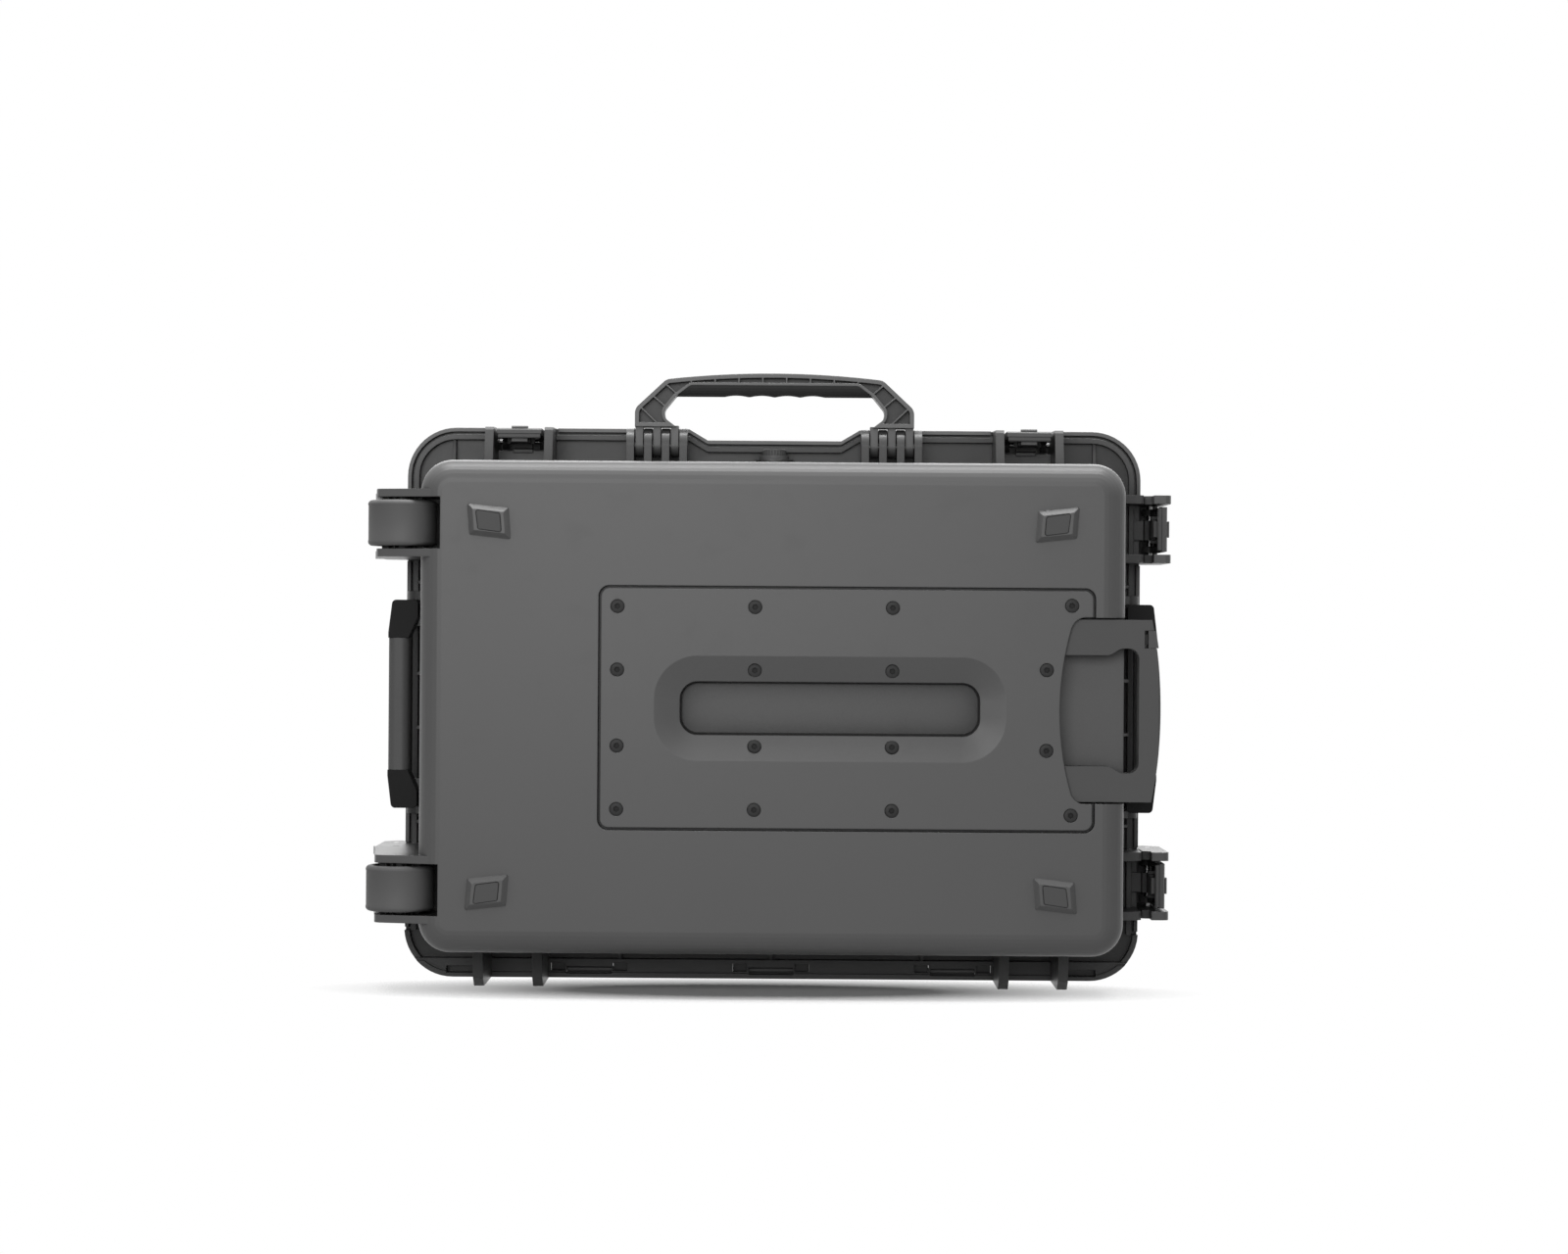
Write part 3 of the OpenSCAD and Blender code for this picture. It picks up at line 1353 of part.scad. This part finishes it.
module bushes(s) {
  flange = (fork_gap - wheel_w) / 2 - fit;
  color(steel) at_wheel(s) for (t = [0, 1])
    mirror([0, 0, t]) difference() {
      union() {
        translate([0, 0, fit]) cylinder(d = bush_d, h = wheel_w / 2 - 2 - fit);
        translate([0, 0, wheel_w / 2 - 2]) cylinder(d = bush_d + 6, h = 2 + flange);
      }
      translate([0, 0, -over]) cylinder(d = axle_d + pin_fit, h = wheel_w);
    }
}

// The sub-parts, each on its own
stand() base_shell();
stand() rubber_feet();
stand() trolley_cover();
stand() cover_screws();
stand() outer_tubes();
stand() tube_collars();
stand() wheel_axles();
stand() carry_handle_pins();
stand() side_handle_pins();
stand() hinge_pins();
stand() valve_body();
stand() valve_cap();
stand() lid_shell();
stand() lid_gasket();
stand() latch_pins();
stand() latch_lever(0);  // latch_front_left
stand() latch_lever(1);  // latch_front_right
stand() latch_lever(2);  // latch_right_upper
stand() latch_lever(3);  // latch_right_lower
stand() latch_lever(4);  // latch_left_upper
stand() latch_lever(5);  // latch_left_lower
stand() latch_claw(0);  // claw_front_left
stand() latch_claw(1);  // claw_front_right
stand() latch_claw(2);  // claw_right_upper
stand() latch_claw(3);  // claw_right_lower
stand() latch_claw(4);  // claw_left_upper
stand() latch_claw(5);  // claw_left_lower
stand() carry_handle();
stand() carry_handle_grip();
stand() side_handle(-1);  // left_handle
stand() side_sleeve(-1);  // left_handle_grip
stand() side_handle(1);  // right_handle
stand() side_sleeve(1);  // right_handle_grip
stand() trolley_grip();
stand() inner_tubes();
stand() tube_guides();
stand() release_rods();
stand() lock_bolts();
stand() grip_screws();
stand() trolley_trigger();
stand() trigger_spring();
stand() tyre(1);  // tyre_upper
stand() hub(1);  // hub_upper
stand() bushes(1);  // bushes_upper
stand() tyre(-1);  // tyre_lower
stand() hub(-1);  // hub_lower
stand() bushes(-1);  // bushes_lower
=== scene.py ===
# Wheeled protective case, standing on its hinge side and seen from the bottom of its base.
# Everything is in metres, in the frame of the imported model, with x to the trolley grip, y to the
# lid and z up.
import bpy
import bmesh
import json
import math
from mathutils import Matrix, Vector


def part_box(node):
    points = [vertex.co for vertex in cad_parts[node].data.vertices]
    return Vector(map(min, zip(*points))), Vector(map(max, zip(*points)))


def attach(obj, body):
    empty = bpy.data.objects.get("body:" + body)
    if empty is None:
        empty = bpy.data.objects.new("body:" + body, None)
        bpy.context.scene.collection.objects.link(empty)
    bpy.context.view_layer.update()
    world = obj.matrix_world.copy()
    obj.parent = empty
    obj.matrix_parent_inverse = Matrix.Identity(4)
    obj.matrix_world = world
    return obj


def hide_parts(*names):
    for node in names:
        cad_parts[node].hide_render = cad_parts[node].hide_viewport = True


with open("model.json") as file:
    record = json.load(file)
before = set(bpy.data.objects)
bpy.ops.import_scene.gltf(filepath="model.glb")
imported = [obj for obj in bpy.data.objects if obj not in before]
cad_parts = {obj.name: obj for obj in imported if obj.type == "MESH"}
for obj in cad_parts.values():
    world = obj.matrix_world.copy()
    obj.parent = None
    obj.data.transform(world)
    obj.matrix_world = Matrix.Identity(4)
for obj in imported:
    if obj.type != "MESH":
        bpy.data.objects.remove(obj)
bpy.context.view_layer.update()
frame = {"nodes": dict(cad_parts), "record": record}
nodes = frame["nodes"]
record = frame["record"]
scene = bpy.context.scene
scene.view_settings.view_transform = "Standard"


# Camera and lamps

cameraSettings = {
    "place": (0.00995, -3.2365, 0.3239),  # straight in front of the bottom of the base
    "focal": 82.06,  # mm
    "sensor": 36,  # mm
    "farthest": 50,  # m that it sees
    "roll": 0.4,  # degrees that the camera leans to the left
}

lamps = [  # name, place, size, watts, point that it faces
    ("topSoftbox", (0.0, -0.1, 2.0), (1.8, 0.26), 40, (0, 0, 0.4)),
    ("frontSoftbox", (-0.5, -3.4, 0.95), (2.0, 1.4), 47, (0, 0, 0.25)),
    ("backSoftbox", (0.0, 2.6, 1.6), (2.4, 1.6), 30, (0, 0, 0.25)),
]


def makeCamera():
    bpy.ops.object.camera_add(location=cameraSettings["place"])
    camera = bpy.context.object
    camera.name = "camera"
    camera.data.lens = cameraSettings["focal"]
    camera.data.sensor_width = cameraSettings["sensor"]
    camera.data.clip_end = cameraSettings["farthest"]
    upright = Matrix.Rotation(math.radians(90), 4, "X")
    lean = Matrix.Rotation(math.radians(cameraSettings["roll"]), 4, "Z")
    camera.matrix_world = Matrix.Translation(cameraSettings["place"]) @ upright @ lean
    scene.camera = camera
    print("camera placed")


def makeLamps():
    for name, place, size, watts, target in lamps:
        bpy.ops.object.light_add(type="AREA", location=place)
        lamp = bpy.context.object
        lamp.name = name
        lamp.data.shape = "RECTANGLE"
        lamp.data.size, lamp.data.size_y = size
        lamp.data.energy = watts
        lamp.rotation_mode = "QUATERNION"
        lamp.rotation_quaternion = (Vector(target) - Vector(place)).to_track_quat("-Z", "Y")
    print(len(lamps), "lamps placed")


# Shader maths

class Wire:  # one output socket: sums and products on it add their Math nodes
    def __init__(self, sheet, socket):
        self.sheet = sheet
        self.socket = socket

    def maths(self, operation, *terms):
        return self.sheet.node("ShaderNodeMath", {"operation": operation}, dict(enumerate(terms)))

    def __add__(self, other):
        return self.maths("ADD", self, other)

    def __sub__(self, other):
        return self.maths("SUBTRACT", self, other)

    def __rsub__(self, other):
        return self.maths("SUBTRACT", other, self)

    def __mul__(self, other):
        return self.maths("MULTIPLY", self, other)

    __radd__ = __add__
    __rmul__ = __mul__


class Sheet:  # the node tree of a material or of the world
    def __init__(self, tree):
        self.tree = tree
        tree.nodes.clear()

    def node(self, kind, settings={}, values={}, out=0):  # values are numbers, colours or wires
        made = self.tree.nodes.new(kind)
        for name, value in settings.items():
            setattr(made, name, value)
        for name, value in values.items():
            if isinstance(value, Wire):
                self.tree.links.new(value.socket, made.inputs[name])
            else:
                made.inputs[name].default_value = value
        return Wire(self, made.outputs[out]) if made.outputs else made

    def noise(self, where, scale, detail, rough):
        return self.node("ShaderNodeTexNoise", {}, {
            "Vector": where, "Scale": scale, "Detail": detail, "Roughness": rough})

    def ramp(self, factor, low, high):  # 0 up to low, 1 from high on
        return self.node("ShaderNodeMapRange", {"clamp": True}, {
            0: factor, 1: low, 2: high, 3: 0.0, 4: 1.0})

    def blend(self, factor, first, second):  # sockets 6 and 7 and output 2 carry colours
        return self.node("ShaderNodeMix", {"data_type": "RGBA"}, {
            0: factor, 6: first, 7: second}, out=2)

    def clearance(self, reach, samples, onlyLocal):  # 1 in open air, less with walls within reach
        settings = {"samples": samples, "only_local": onlyLocal}
        return self.node("ShaderNodeAmbientOcclusion", settings, {"Distance": reach}, out="AO")


def newSheet(name):
    material = bpy.data.materials.new(name)
    material.use_nodes = True
    return material, Sheet(material.node_tree)


def shade(value):
    return (value, value, value, 1)


# Finishes of the case, all of them greys. Shine is the specular level, grain the height of the
# fine grain in metres, grainSize its noise scale, and edge the radius that edges seem to have.

finishes = {
    "shell_plastic": {
        "grey": 0.143, "rough": 0.35, "shine": 0.28,
        "grain": 0.00007, "grainSize": 1700, "edge": 0.0011},
    "dark_plastic": {
        "grey": 0.12, "rough": 0.5, "shine": 0.26,
        "grain": 0.00005, "grainSize": 2000, "edge": 0.0008},
    "black_plastic": {
        "grey": 0.009, "rough": 0.5, "shine": 0.12,
        "grain": 0.00005, "grainSize": 2000, "edge": 0.0009},
    "rubber": {
        "grey": 0.045, "rough": 0.72, "shine": 0.25,
        "grain": 0.00004, "grainSize": 2600, "edge": 0.0006},
    "tyre_rubber": {
        "grey": 0.165, "rough": 0.6, "shine": 0.3,
        "grain": 0.00003, "grainSize": 2400, "edge": 0.0008},
    "steel": {
        "grey": 0.5, "rough": 0.34, "metal": 1.0,
        "grain": 0.00001, "grainSize": 3000, "edge": 0.0003},
    "grey_rubber": {
        "grey": 0.126, "rough": 0.62, "shine": 0.25,
        "grain": 0.00005, "grainSize": 2200, "edge": 0.0006},
    "black_steel": {
        "grey": 0.04, "rough": 0.5, "shine": 0.2,
        "grain": 0.00001, "grainSize": 3000, "edge": 0.0003},
    "aluminium": {
        "grey": 0.7, "rough": 0.3, "metal": 1.0,
        "grain": 0.00001, "grainSize": 900, "edge": 0.0004},
}

wear = {
    "cloudSize": 7.0,  # noise scale of the slow change of shade over a moulding
    "cloudShare": 0.05,  # how far it goes each way
    "cloudRough": 0.06,  # what it adds to the roughness
    "scuffSize": 38.0,  # noise scale of the scuffs
    "scuffFrom": 0.56,  # height of the noise where a scuff starts
    "scuffTo": 0.74,
    "scuffRough": 0.05,
    "edgeFrom": 0.02,  # how far a rounded edge turns from its face where the wear starts
    "edgeTo": 0.22,
    "edgeLeast": 0.55,  # wear of an edge where it has no scuff
    "edgeLight": 0.22,  # how much paler worn edges are
    "edgeTint": 2.2,  # shade of a worn edge against the piece
    "edgeRough": 0.08,  # what a worn edge loses of its roughness
    "grainBump": 0.6,
}

# Painted shade: ambient occlusion darkens the colour in recesses and in gaps between pieces, in
# place of the shade that falls there
paintedShade = {
    "shade": 0.15,  # painted shade in corners and recesses, against the open surface
    "recessReach": 0.13,  # m from its walls within which painted shade darkens a recess
    "recessFrom": 0.58,  # openness at which a recess is darkest
    "recessTo": 0.97,
    "gapReach": 0.017,  # m from a neighbouring piece within which painted shade darkens a gap
    "gapFrom": 0.15,  # openness at which a gap is darkest
    "gapTo": 0.75,
    "gapLeast": 0.25,  # what is left of the openness in the closest gap
    "samples": 6,
}


def makeFinish(name, look):
    material, sheet = newSheet(name)
    place = sheet.node("ShaderNodeTexCoord", out="Object")
    cloud = sheet.noise(place, wear["cloudSize"], 3.0, 0.5)
    grain = sheet.noise(place, look["grainSize"], 1.5, 0.6)
    specks = sheet.noise(place, wear["scuffSize"], 6.0, 0.65)
    scuff = sheet.ramp(specks, wear["scuffFrom"], wear["scuffTo"])
    rounded = sheet.node("ShaderNodeBevel", {"samples": 4}, {"Radius": look["edge"]})
    flat = sheet.node("ShaderNodeNewGeometry", out="True Normal")
    facing = sheet.node("ShaderNodeVectorMath", {"operation": "DOT_PRODUCT"}, {
        0: rounded, 1: flat}, out="Value")
    edge = sheet.ramp(1 - facing, wear["edgeFrom"], wear["edgeTo"])
    worn = edge * (wear["edgeLeast"] + (1 - wear["edgeLeast"]) * scuff)

    # Painted shade: the colour darkens where ambient occlusion finds walls of the piece or
    # neighbouring pieces close by
    fromWalls = sheet.clearance(paintedShade["recessReach"], paintedShade["samples"], True)
    fromPieces = sheet.clearance(paintedShade["gapReach"], paintedShade["samples"], False)
    gap = sheet.ramp(fromPieces, paintedShade["gapFrom"], paintedShade["gapTo"])
    recess = sheet.ramp(fromWalls, paintedShade["recessFrom"], paintedShade["recessTo"])
    openness = recess * (paintedShade["gapLeast"] + (1 - paintedShade["gapLeast"]) * gap)

    grey = look["grey"]
    darker = shade(grey * (1 - wear["cloudShare"]))
    lighter = shade(grey * (1 + wear["cloudShare"]))
    tone = sheet.blend(cloud, darker, lighter)
    # the painted shade is blended over the tone here
    base = sheet.blend(openness, shade(grey * paintedShade["shade"]), tone)
    colour = sheet.blend(worn * wear["edgeLight"], base, shade(min(1, grey * wear["edgeTint"])))
    cloudy = look["rough"] + wear["cloudRough"] * (cloud - 0.5)
    rough = cloudy - wear["edgeRough"] * worn + wear["scuffRough"] * scuff
    bumped = sheet.node("ShaderNodeBump", {}, {
        "Strength": wear["grainBump"], "Distance": look["grain"],
        "Height": grain, "Normal": rounded})
    surface = sheet.node("ShaderNodeBsdfPrincipled", {}, {
        "Base Color": colour, "Roughness": rough, "Normal": bumped,
        "Metallic": look.get("metal", 0.0), "Specular IOR Level": look.get("shine", 0.5)})
    sheet.node("ShaderNodeOutputMaterial", {}, {"Surface": surface})
    return material


def makeFinishes():
    made = {name: makeFinish(name, look) for name, look in finishes.items()}
    slotOf = {part["node"]: part["material_slot"] for part in record["subparts"]}
    for name, piece in nodes.items():
        piece.data.materials.clear()
        piece.data.materials.append(made[slotOf[name]])
    print(len(made), "finishes on", len(nodes), "nodes")
    return made


# Floor and room

studio = {
    "ambient": 0.09,  # brightness of the room on the object
    "background": 1.0,  # brightness of the backdrop, where 1 is white
    "floorColour": 0.93,
    "floorBounce": 0.3,  # colour of the floor in the light that it throws back
    "floorSize": 4.0,
    "patchMiddle": (-0.015, -0.056),
    "patch": (0.4, 0.115),  # m, half the width and depth of the floor that shows the shadow
    "fadeFrom": 0.4,  # share of the patch where it starts to melt into the backdrop
    "fadeTo": 1.0,
}


def makeFloor():  # shows the shadow under the case and melts into the backdrop round it
    material, sheet = newSheet("studioFloor")
    place = sheet.node("ShaderNodeTexCoord", out="Object")
    fromMiddle = sheet.node("ShaderNodeVectorMath", {"operation": "SUBTRACT"}, {
        0: place, 1: (*studio["patchMiddle"], 0)})
    inPatch = sheet.node("ShaderNodeVectorMath", {"operation": "DIVIDE"}, {
        0: fromMiddle, 1: (*studio["patch"], 1)})
    away = sheet.node("ShaderNodeVectorMath", {"operation": "LENGTH"}, {0: inPatch}, out="Value")
    fade = sheet.ramp(away, studio["fadeFrom"], studio["fadeTo"])
    bounced = sheet.node("ShaderNodeLightPath", out="Is Diffuse Ray")
    colour = sheet.blend(bounced, shade(studio["floorColour"]), shade(studio["floorBounce"]))
    paint = sheet.node("ShaderNodeBsdfDiffuse", {}, {"Color": colour})
    glass = sheet.node("ShaderNodeBsdfTransparent")
    both = sheet.node("ShaderNodeMixShader", {}, {0: fade, 1: paint, 2: glass})
    sheet.node("ShaderNodeOutputMaterial", {}, {"Surface": both})
    bpy.ops.mesh.primitive_plane_add(size=studio["floorSize"])
    floor = bpy.context.object
    floor.name = "floor"
    floor.data.materials.append(material)
    print("floor laid")


def makeRoom():  # dim on the object, white where the camera, a mirror or glass shows it
    world = bpy.data.worlds.new("studioWorld")
    scene.world = world
    world.use_nodes = True
    sheet = Sheet(world.node_tree)
    seen = sheet.node("ShaderNodeLightPath", out="Is Camera Ray")
    mirrored = Wire(sheet, seen.socket.node.outputs["Is Glossy Ray"])
    passed = Wire(sheet, seen.socket.node.outputs["Is Transmission Ray"])
    shown = seen.maths("MAXIMUM", seen, seen.maths("MAXIMUM", mirrored, passed))
    strength = studio["ambient"] + (studio["background"] - studio["ambient"]) * shown
    glow = sheet.node("ShaderNodeBackground", {}, {"Color": shade(1), "Strength": strength})
    sheet.node("ShaderNodeOutputWorld", {}, {"Surface": glow})
    print("room lit")


# Modelling helpers

cornerAngle = math.radians(40)  # edges that turn more than this are rounded
smoothAngle = 35  # degrees up to which faces are shaded as one


def pick(piece):
    bpy.ops.object.select_all(action="DESELECT")
    bpy.context.view_layer.objects.active = piece
    piece.select_set(True)


def editFaces(piece, wanted):  # opens edit mode with the faces that the test wants selected
    pick(piece)
    bpy.ops.object.mode_set(mode="EDIT")
    bpy.ops.mesh.select_mode(type="FACE")
    bpy.ops.mesh.select_all(action="DESELECT")
    mesh = bmesh.from_edit_mesh(piece.data)
    for face in mesh.faces:
        face.select_set(bool(wanted(face)))
    bmesh.update_edit_mesh(piece.data)


def closeEdit(angle=smoothAngle):
    bpy.ops.object.mode_set(mode="OBJECT")
    bpy.ops.object.shade_smooth_by_angle(angle=math.radians(angle))


def addModifier(piece, kind, **settings):
    bpy.context.view_layer.objects.active = piece
    made = piece.modifiers.new(kind.lower(), kind)
    for name, value in settings.items():
        setattr(made, name, value)
    bpy.ops.object.modifier_apply(modifier=made.name)


def addTube(box, sides, wall, edge, segments):  # upright, as large as the box, with rounded edges
    radius = span(box)[0] / 2
    bpy.ops.mesh.primitive_cylinder_add(
        vertices=sides, radius=radius, depth=span(box)[2], end_fill_type="NOTHING",
        location=middle(box))
    tube = bpy.context.object
    addModifier(tube, "SOLIDIFY", thickness=wall, offset=-1)
    addModifier(
        tube, "BEVEL", width=edge, segments=segments, limit_method="ANGLE", angle_limit=cornerAngle)
    return tube


def settle(piece, name, body, slot, replaced):  # its place goes into its mesh
    pick(piece)
    bpy.ops.object.transform_apply(location=True, rotation=True, scale=True)
    piece.name = name
    piece.data.materials.clear()
    piece.data.materials.append(finishMaterials[slot])
    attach(piece, body)
    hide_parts(replaced)


def middle(box):
    return tuple((low + high) / 2 for low, high in zip(*box))


def span(box):
    return tuple(high - low for low, high in zip(*box))


def onTop(face):
    return face.normal.z > 0.99


def onEnd(face):
    return abs(face.normal.z) > 0.99


def onSide(face):
    return abs(face.normal.z) < 0.01


def turnOf(face):  # degrees round the upright axis
    spot = face.calc_center_median()
    return math.degrees(math.atan2(spot.y, spot.x))


# Tyres, with rounded shoulders and a shallow band in the tread

tyreShape = {
    "wall": 0.008,  # m of rubber on the hub
    "shoulder": 0.0038,  # radius of the rounded shoulders
    "shoulderSteps": 5,
    "sides": 96,
    "bandEdge": 0.0012,  # width of tread beside the band
    "bandDepth": 0.0004,
}


def makeTyre(where):
    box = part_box("tyre_" + where)
    tyre = addTube(box, tyreShape["sides"], tyreShape["wall"],
        tyreShape["shoulder"], tyreShape["shoulderSteps"])
    editFaces(tyre, inBand)
    bpy.ops.mesh.inset(
        thickness=tyreShape["bandEdge"], depth=-tyreShape["bandDepth"], use_even_offset=True)
    closeEdit()
    settle(tyre, "tyre" + where.title(), "wheel_" + where, "tyre_rubber", "tyre_" + where)
    print("tyre", where)


def inBand(face):  # halfway along the tyre
    return abs(face.calc_center_median().z) < 0.001


# Hubs, with a ring-shaped recess in each face and webs across it

hubShape = {
    "bore": 0.008,  # radius
    "sides": 72,
    "chamfer": 0.0008,
    "chamferSteps": 2,
    "rimWall": 0.0032,  # width of the edges beside the recess
    "recess": 0.007,  # depth of the recess
    "draft": 0.0004,  # slope of its walls, from mouth to floor
    "webs": 6,
}


def makeHub(where):
    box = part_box("hub_" + where)
    wall = span(box)[0] / 2 - hubShape["bore"]
    hub = addTube(box, hubShape["sides"], wall,
        hubShape["chamfer"], hubShape["chamferSteps"])
    editFaces(hub, lambda face: onEnd(face) and not inWeb(face))
    bpy.ops.mesh.inset(thickness=hubShape["rimWall"], depth=0, use_even_offset=True)
    bpy.ops.mesh.inset(
        thickness=hubShape["draft"], depth=-hubShape["recess"], use_even_offset=True)
    closeEdit()
    settle(hub, "hub" + where.title(), "wheel_" + where, "dark_plastic", "hub_" + where)
    print("hub", where)


def inWeb(face):  # one segment of the face in every sixth of a turn stays a wall
    return turnOf(face) % (360 / hubShape["webs"]) < 360 / hubShape["sides"]


# Screws of the cover plate

screwShape = {
    "headRadius": 0.0057,
    "headDepth": 0.003,
    "headSides": 40,
    "socketRadius": 0.0027,  # of the six-sided socket, to its corners
    "socketDepth": 0.0022,
    "chamfer": 0.0005,
    "chamferSteps": 2,
    "turnEach": 0.3,  # radians that each socket is turned past the one before
    "sameSpot": 0.00001,  # m within which two corners of the CAD mesh are one
}


def makeScrews():
    places = screwPlaces()
    outwards = math.radians(90)
    for number, (x, face, z) in enumerate(places):
        bpy.ops.mesh.primitive_cylinder_add(
            vertices=screwShape["headSides"], radius=screwShape["headRadius"],
            depth=screwShape["headDepth"], location=(x, face + screwShape["headDepth"] / 2, z),
            rotation=(outwards, 0, 0))
        screw = bpy.context.object
        addModifier(
            screw, "BEVEL", width=screwShape["chamfer"], segments=screwShape["chamferSteps"],
            limit_method="ANGLE")
        bpy.ops.mesh.primitive_cylinder_add(
            vertices=6, radius=screwShape["socketRadius"], depth=2 * screwShape["socketDepth"],
            location=(x, face, z), rotation=(outwards, screwShape["turnEach"] * number, 0))
        socket = bpy.context.object
        addModifier(screw, "BOOLEAN", operation="DIFFERENCE", object=socket, solver="EXACT")
        bpy.data.objects.remove(socket)
        pick(screw)
        bpy.ops.object.shade_smooth_by_angle(angle=math.radians(smoothAngle))
        settle(screw, "coverScrew%02d" % number, "base", "black_steel", "cover_screws")
    print(len(places), "cover screws")


def screwPlaces():  # middles of the outer faces of the screw heads, read from the CAD solids
    mesh = bmesh.new()
    mesh.from_mesh(nodes["cover_screws"].data)
    bmesh.ops.remove_doubles(mesh, verts=mesh.verts, dist=screwShape["sameSpot"])
    left = set(mesh.verts)
    places = []
    while left:
        island = [left.pop()]
        for vert in island:
            for edge in vert.link_edges:
                other = edge.other_vert(vert)
                if other in left:
                    left.remove(other)
                    island.append(other)
        low = [min(vert.co[axis] for vert in island) for axis in range(3)]
        high = [max(vert.co[axis] for vert in island) for axis in range(3)]
        x, _, z = middle((low, high))
        places.append((x, low[1], z))
    mesh.free()
    return sorted(places)


# Cap of the pressure valve, a knurled disc on the upper side of the case

valveShape = {
    "sides": 48,
    "edge": 0.0013,  # roundness of the outer edge
    "edgeSteps": 4,
    "rim": 0.002,  # width of the flat ring round the hollow
    "slope": 0.0008,  # width of the slope down into the hollow
    "dish": 0.0012,  # depth of the hollow in the top
    "knurl": 0.00035,  # depth of every second side face
    "knurlEdge": 0.0003,
    "smooth": 30,  # degrees
}


def makeValveCap():
    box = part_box("valve_cap")
    bpy.ops.mesh.primitive_cylinder_add(
        vertices=valveShape["sides"], radius=span(box)[0] / 2, depth=span(box)[2],
        location=middle(box))
    cap = bpy.context.object
    editFaces(cap, onTop)
    bpy.ops.mesh.bevel(offset=valveShape["edge"], segments=valveShape["edgeSteps"], affect="EDGES")
    closeEdit()
    editFaces(cap, onTop)
    bpy.ops.mesh.inset(thickness=valveShape["rim"], depth=0)
    bpy.ops.mesh.inset(thickness=valveShape["slope"], depth=-valveShape["dish"])
    closeEdit()
    editFaces(cap, lambda face: onSide(face) and everySecond(face))
    bpy.ops.mesh.inset(
        thickness=valveShape["knurlEdge"], depth=-valveShape["knurl"], use_individual=True)
    closeEdit(valveShape["smooth"])
    settle(cap, "valveCap", "base", "dark_plastic", "valve_cap")
    print("valve cap")


def everySecond(face):
    return int(turnOf(face) // (360 / valveShape["sides"])) % 2 == 0


# Spring behind the release trigger, a wire wound along x

springShape = {
    "wire": 0.0004,  # radius
    "wireSides": 10,
    "turns": 4,
    "stepsEach": 24,  # steps in one turn
    "smooth": 60,  # degrees
}


def makeSpring():
    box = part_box("trigger_spring")
    wire = springShape["wire"]
    centre = middle(box)
    upright = math.radians(90)
    bpy.ops.mesh.primitive_circle_add(
        vertices=springShape["wireSides"], radius=wire, rotation=(0, upright, upright),
        location=(box[0][0] + wire, centre[1], centre[2] + span(box)[1] / 2 - wire))
    spring = bpy.context.object
    bpy.ops.object.transform_apply(location=False, rotation=True, scale=True)
    bpy.context.scene.cursor.location = centre  # the wire is wound round the origin
    bpy.ops.object.origin_set(type="ORIGIN_CURSOR")
    bpy.context.scene.cursor.location = (0, 0, 0)
    pitch = (span(box)[0] - 2 * wire) / springShape["turns"]
    addModifier(
        spring, "SCREW", axis="X", angle=math.radians(360), screw_offset=pitch,
        iterations=springShape["turns"], steps=springShape["stepsEach"],
        render_steps=springShape["stepsEach"], use_merge_vertices=True)
    editFaces(spring, lambda face: True)
    bpy.ops.mesh.fill_holes(sides=0)  # closes the two ends of the wire
    bpy.ops.mesh.normals_make_consistent(inside=False)
    closeEdit(springShape["smooth"])
    settle(spring, "triggerSpring", "trolley", "steel", "trigger_spring")
    print("trigger spring")


bpy.ops.object.select_all(action="DESELECT")
makeCamera()
makeLamps()
makeFloor()
makeRoom()
finishMaterials = makeFinishes()
for where in ("upper", "lower"):
    makeTyre(where)
    makeHub(where)
makeScrews()
makeValveCap()
makeSpring()
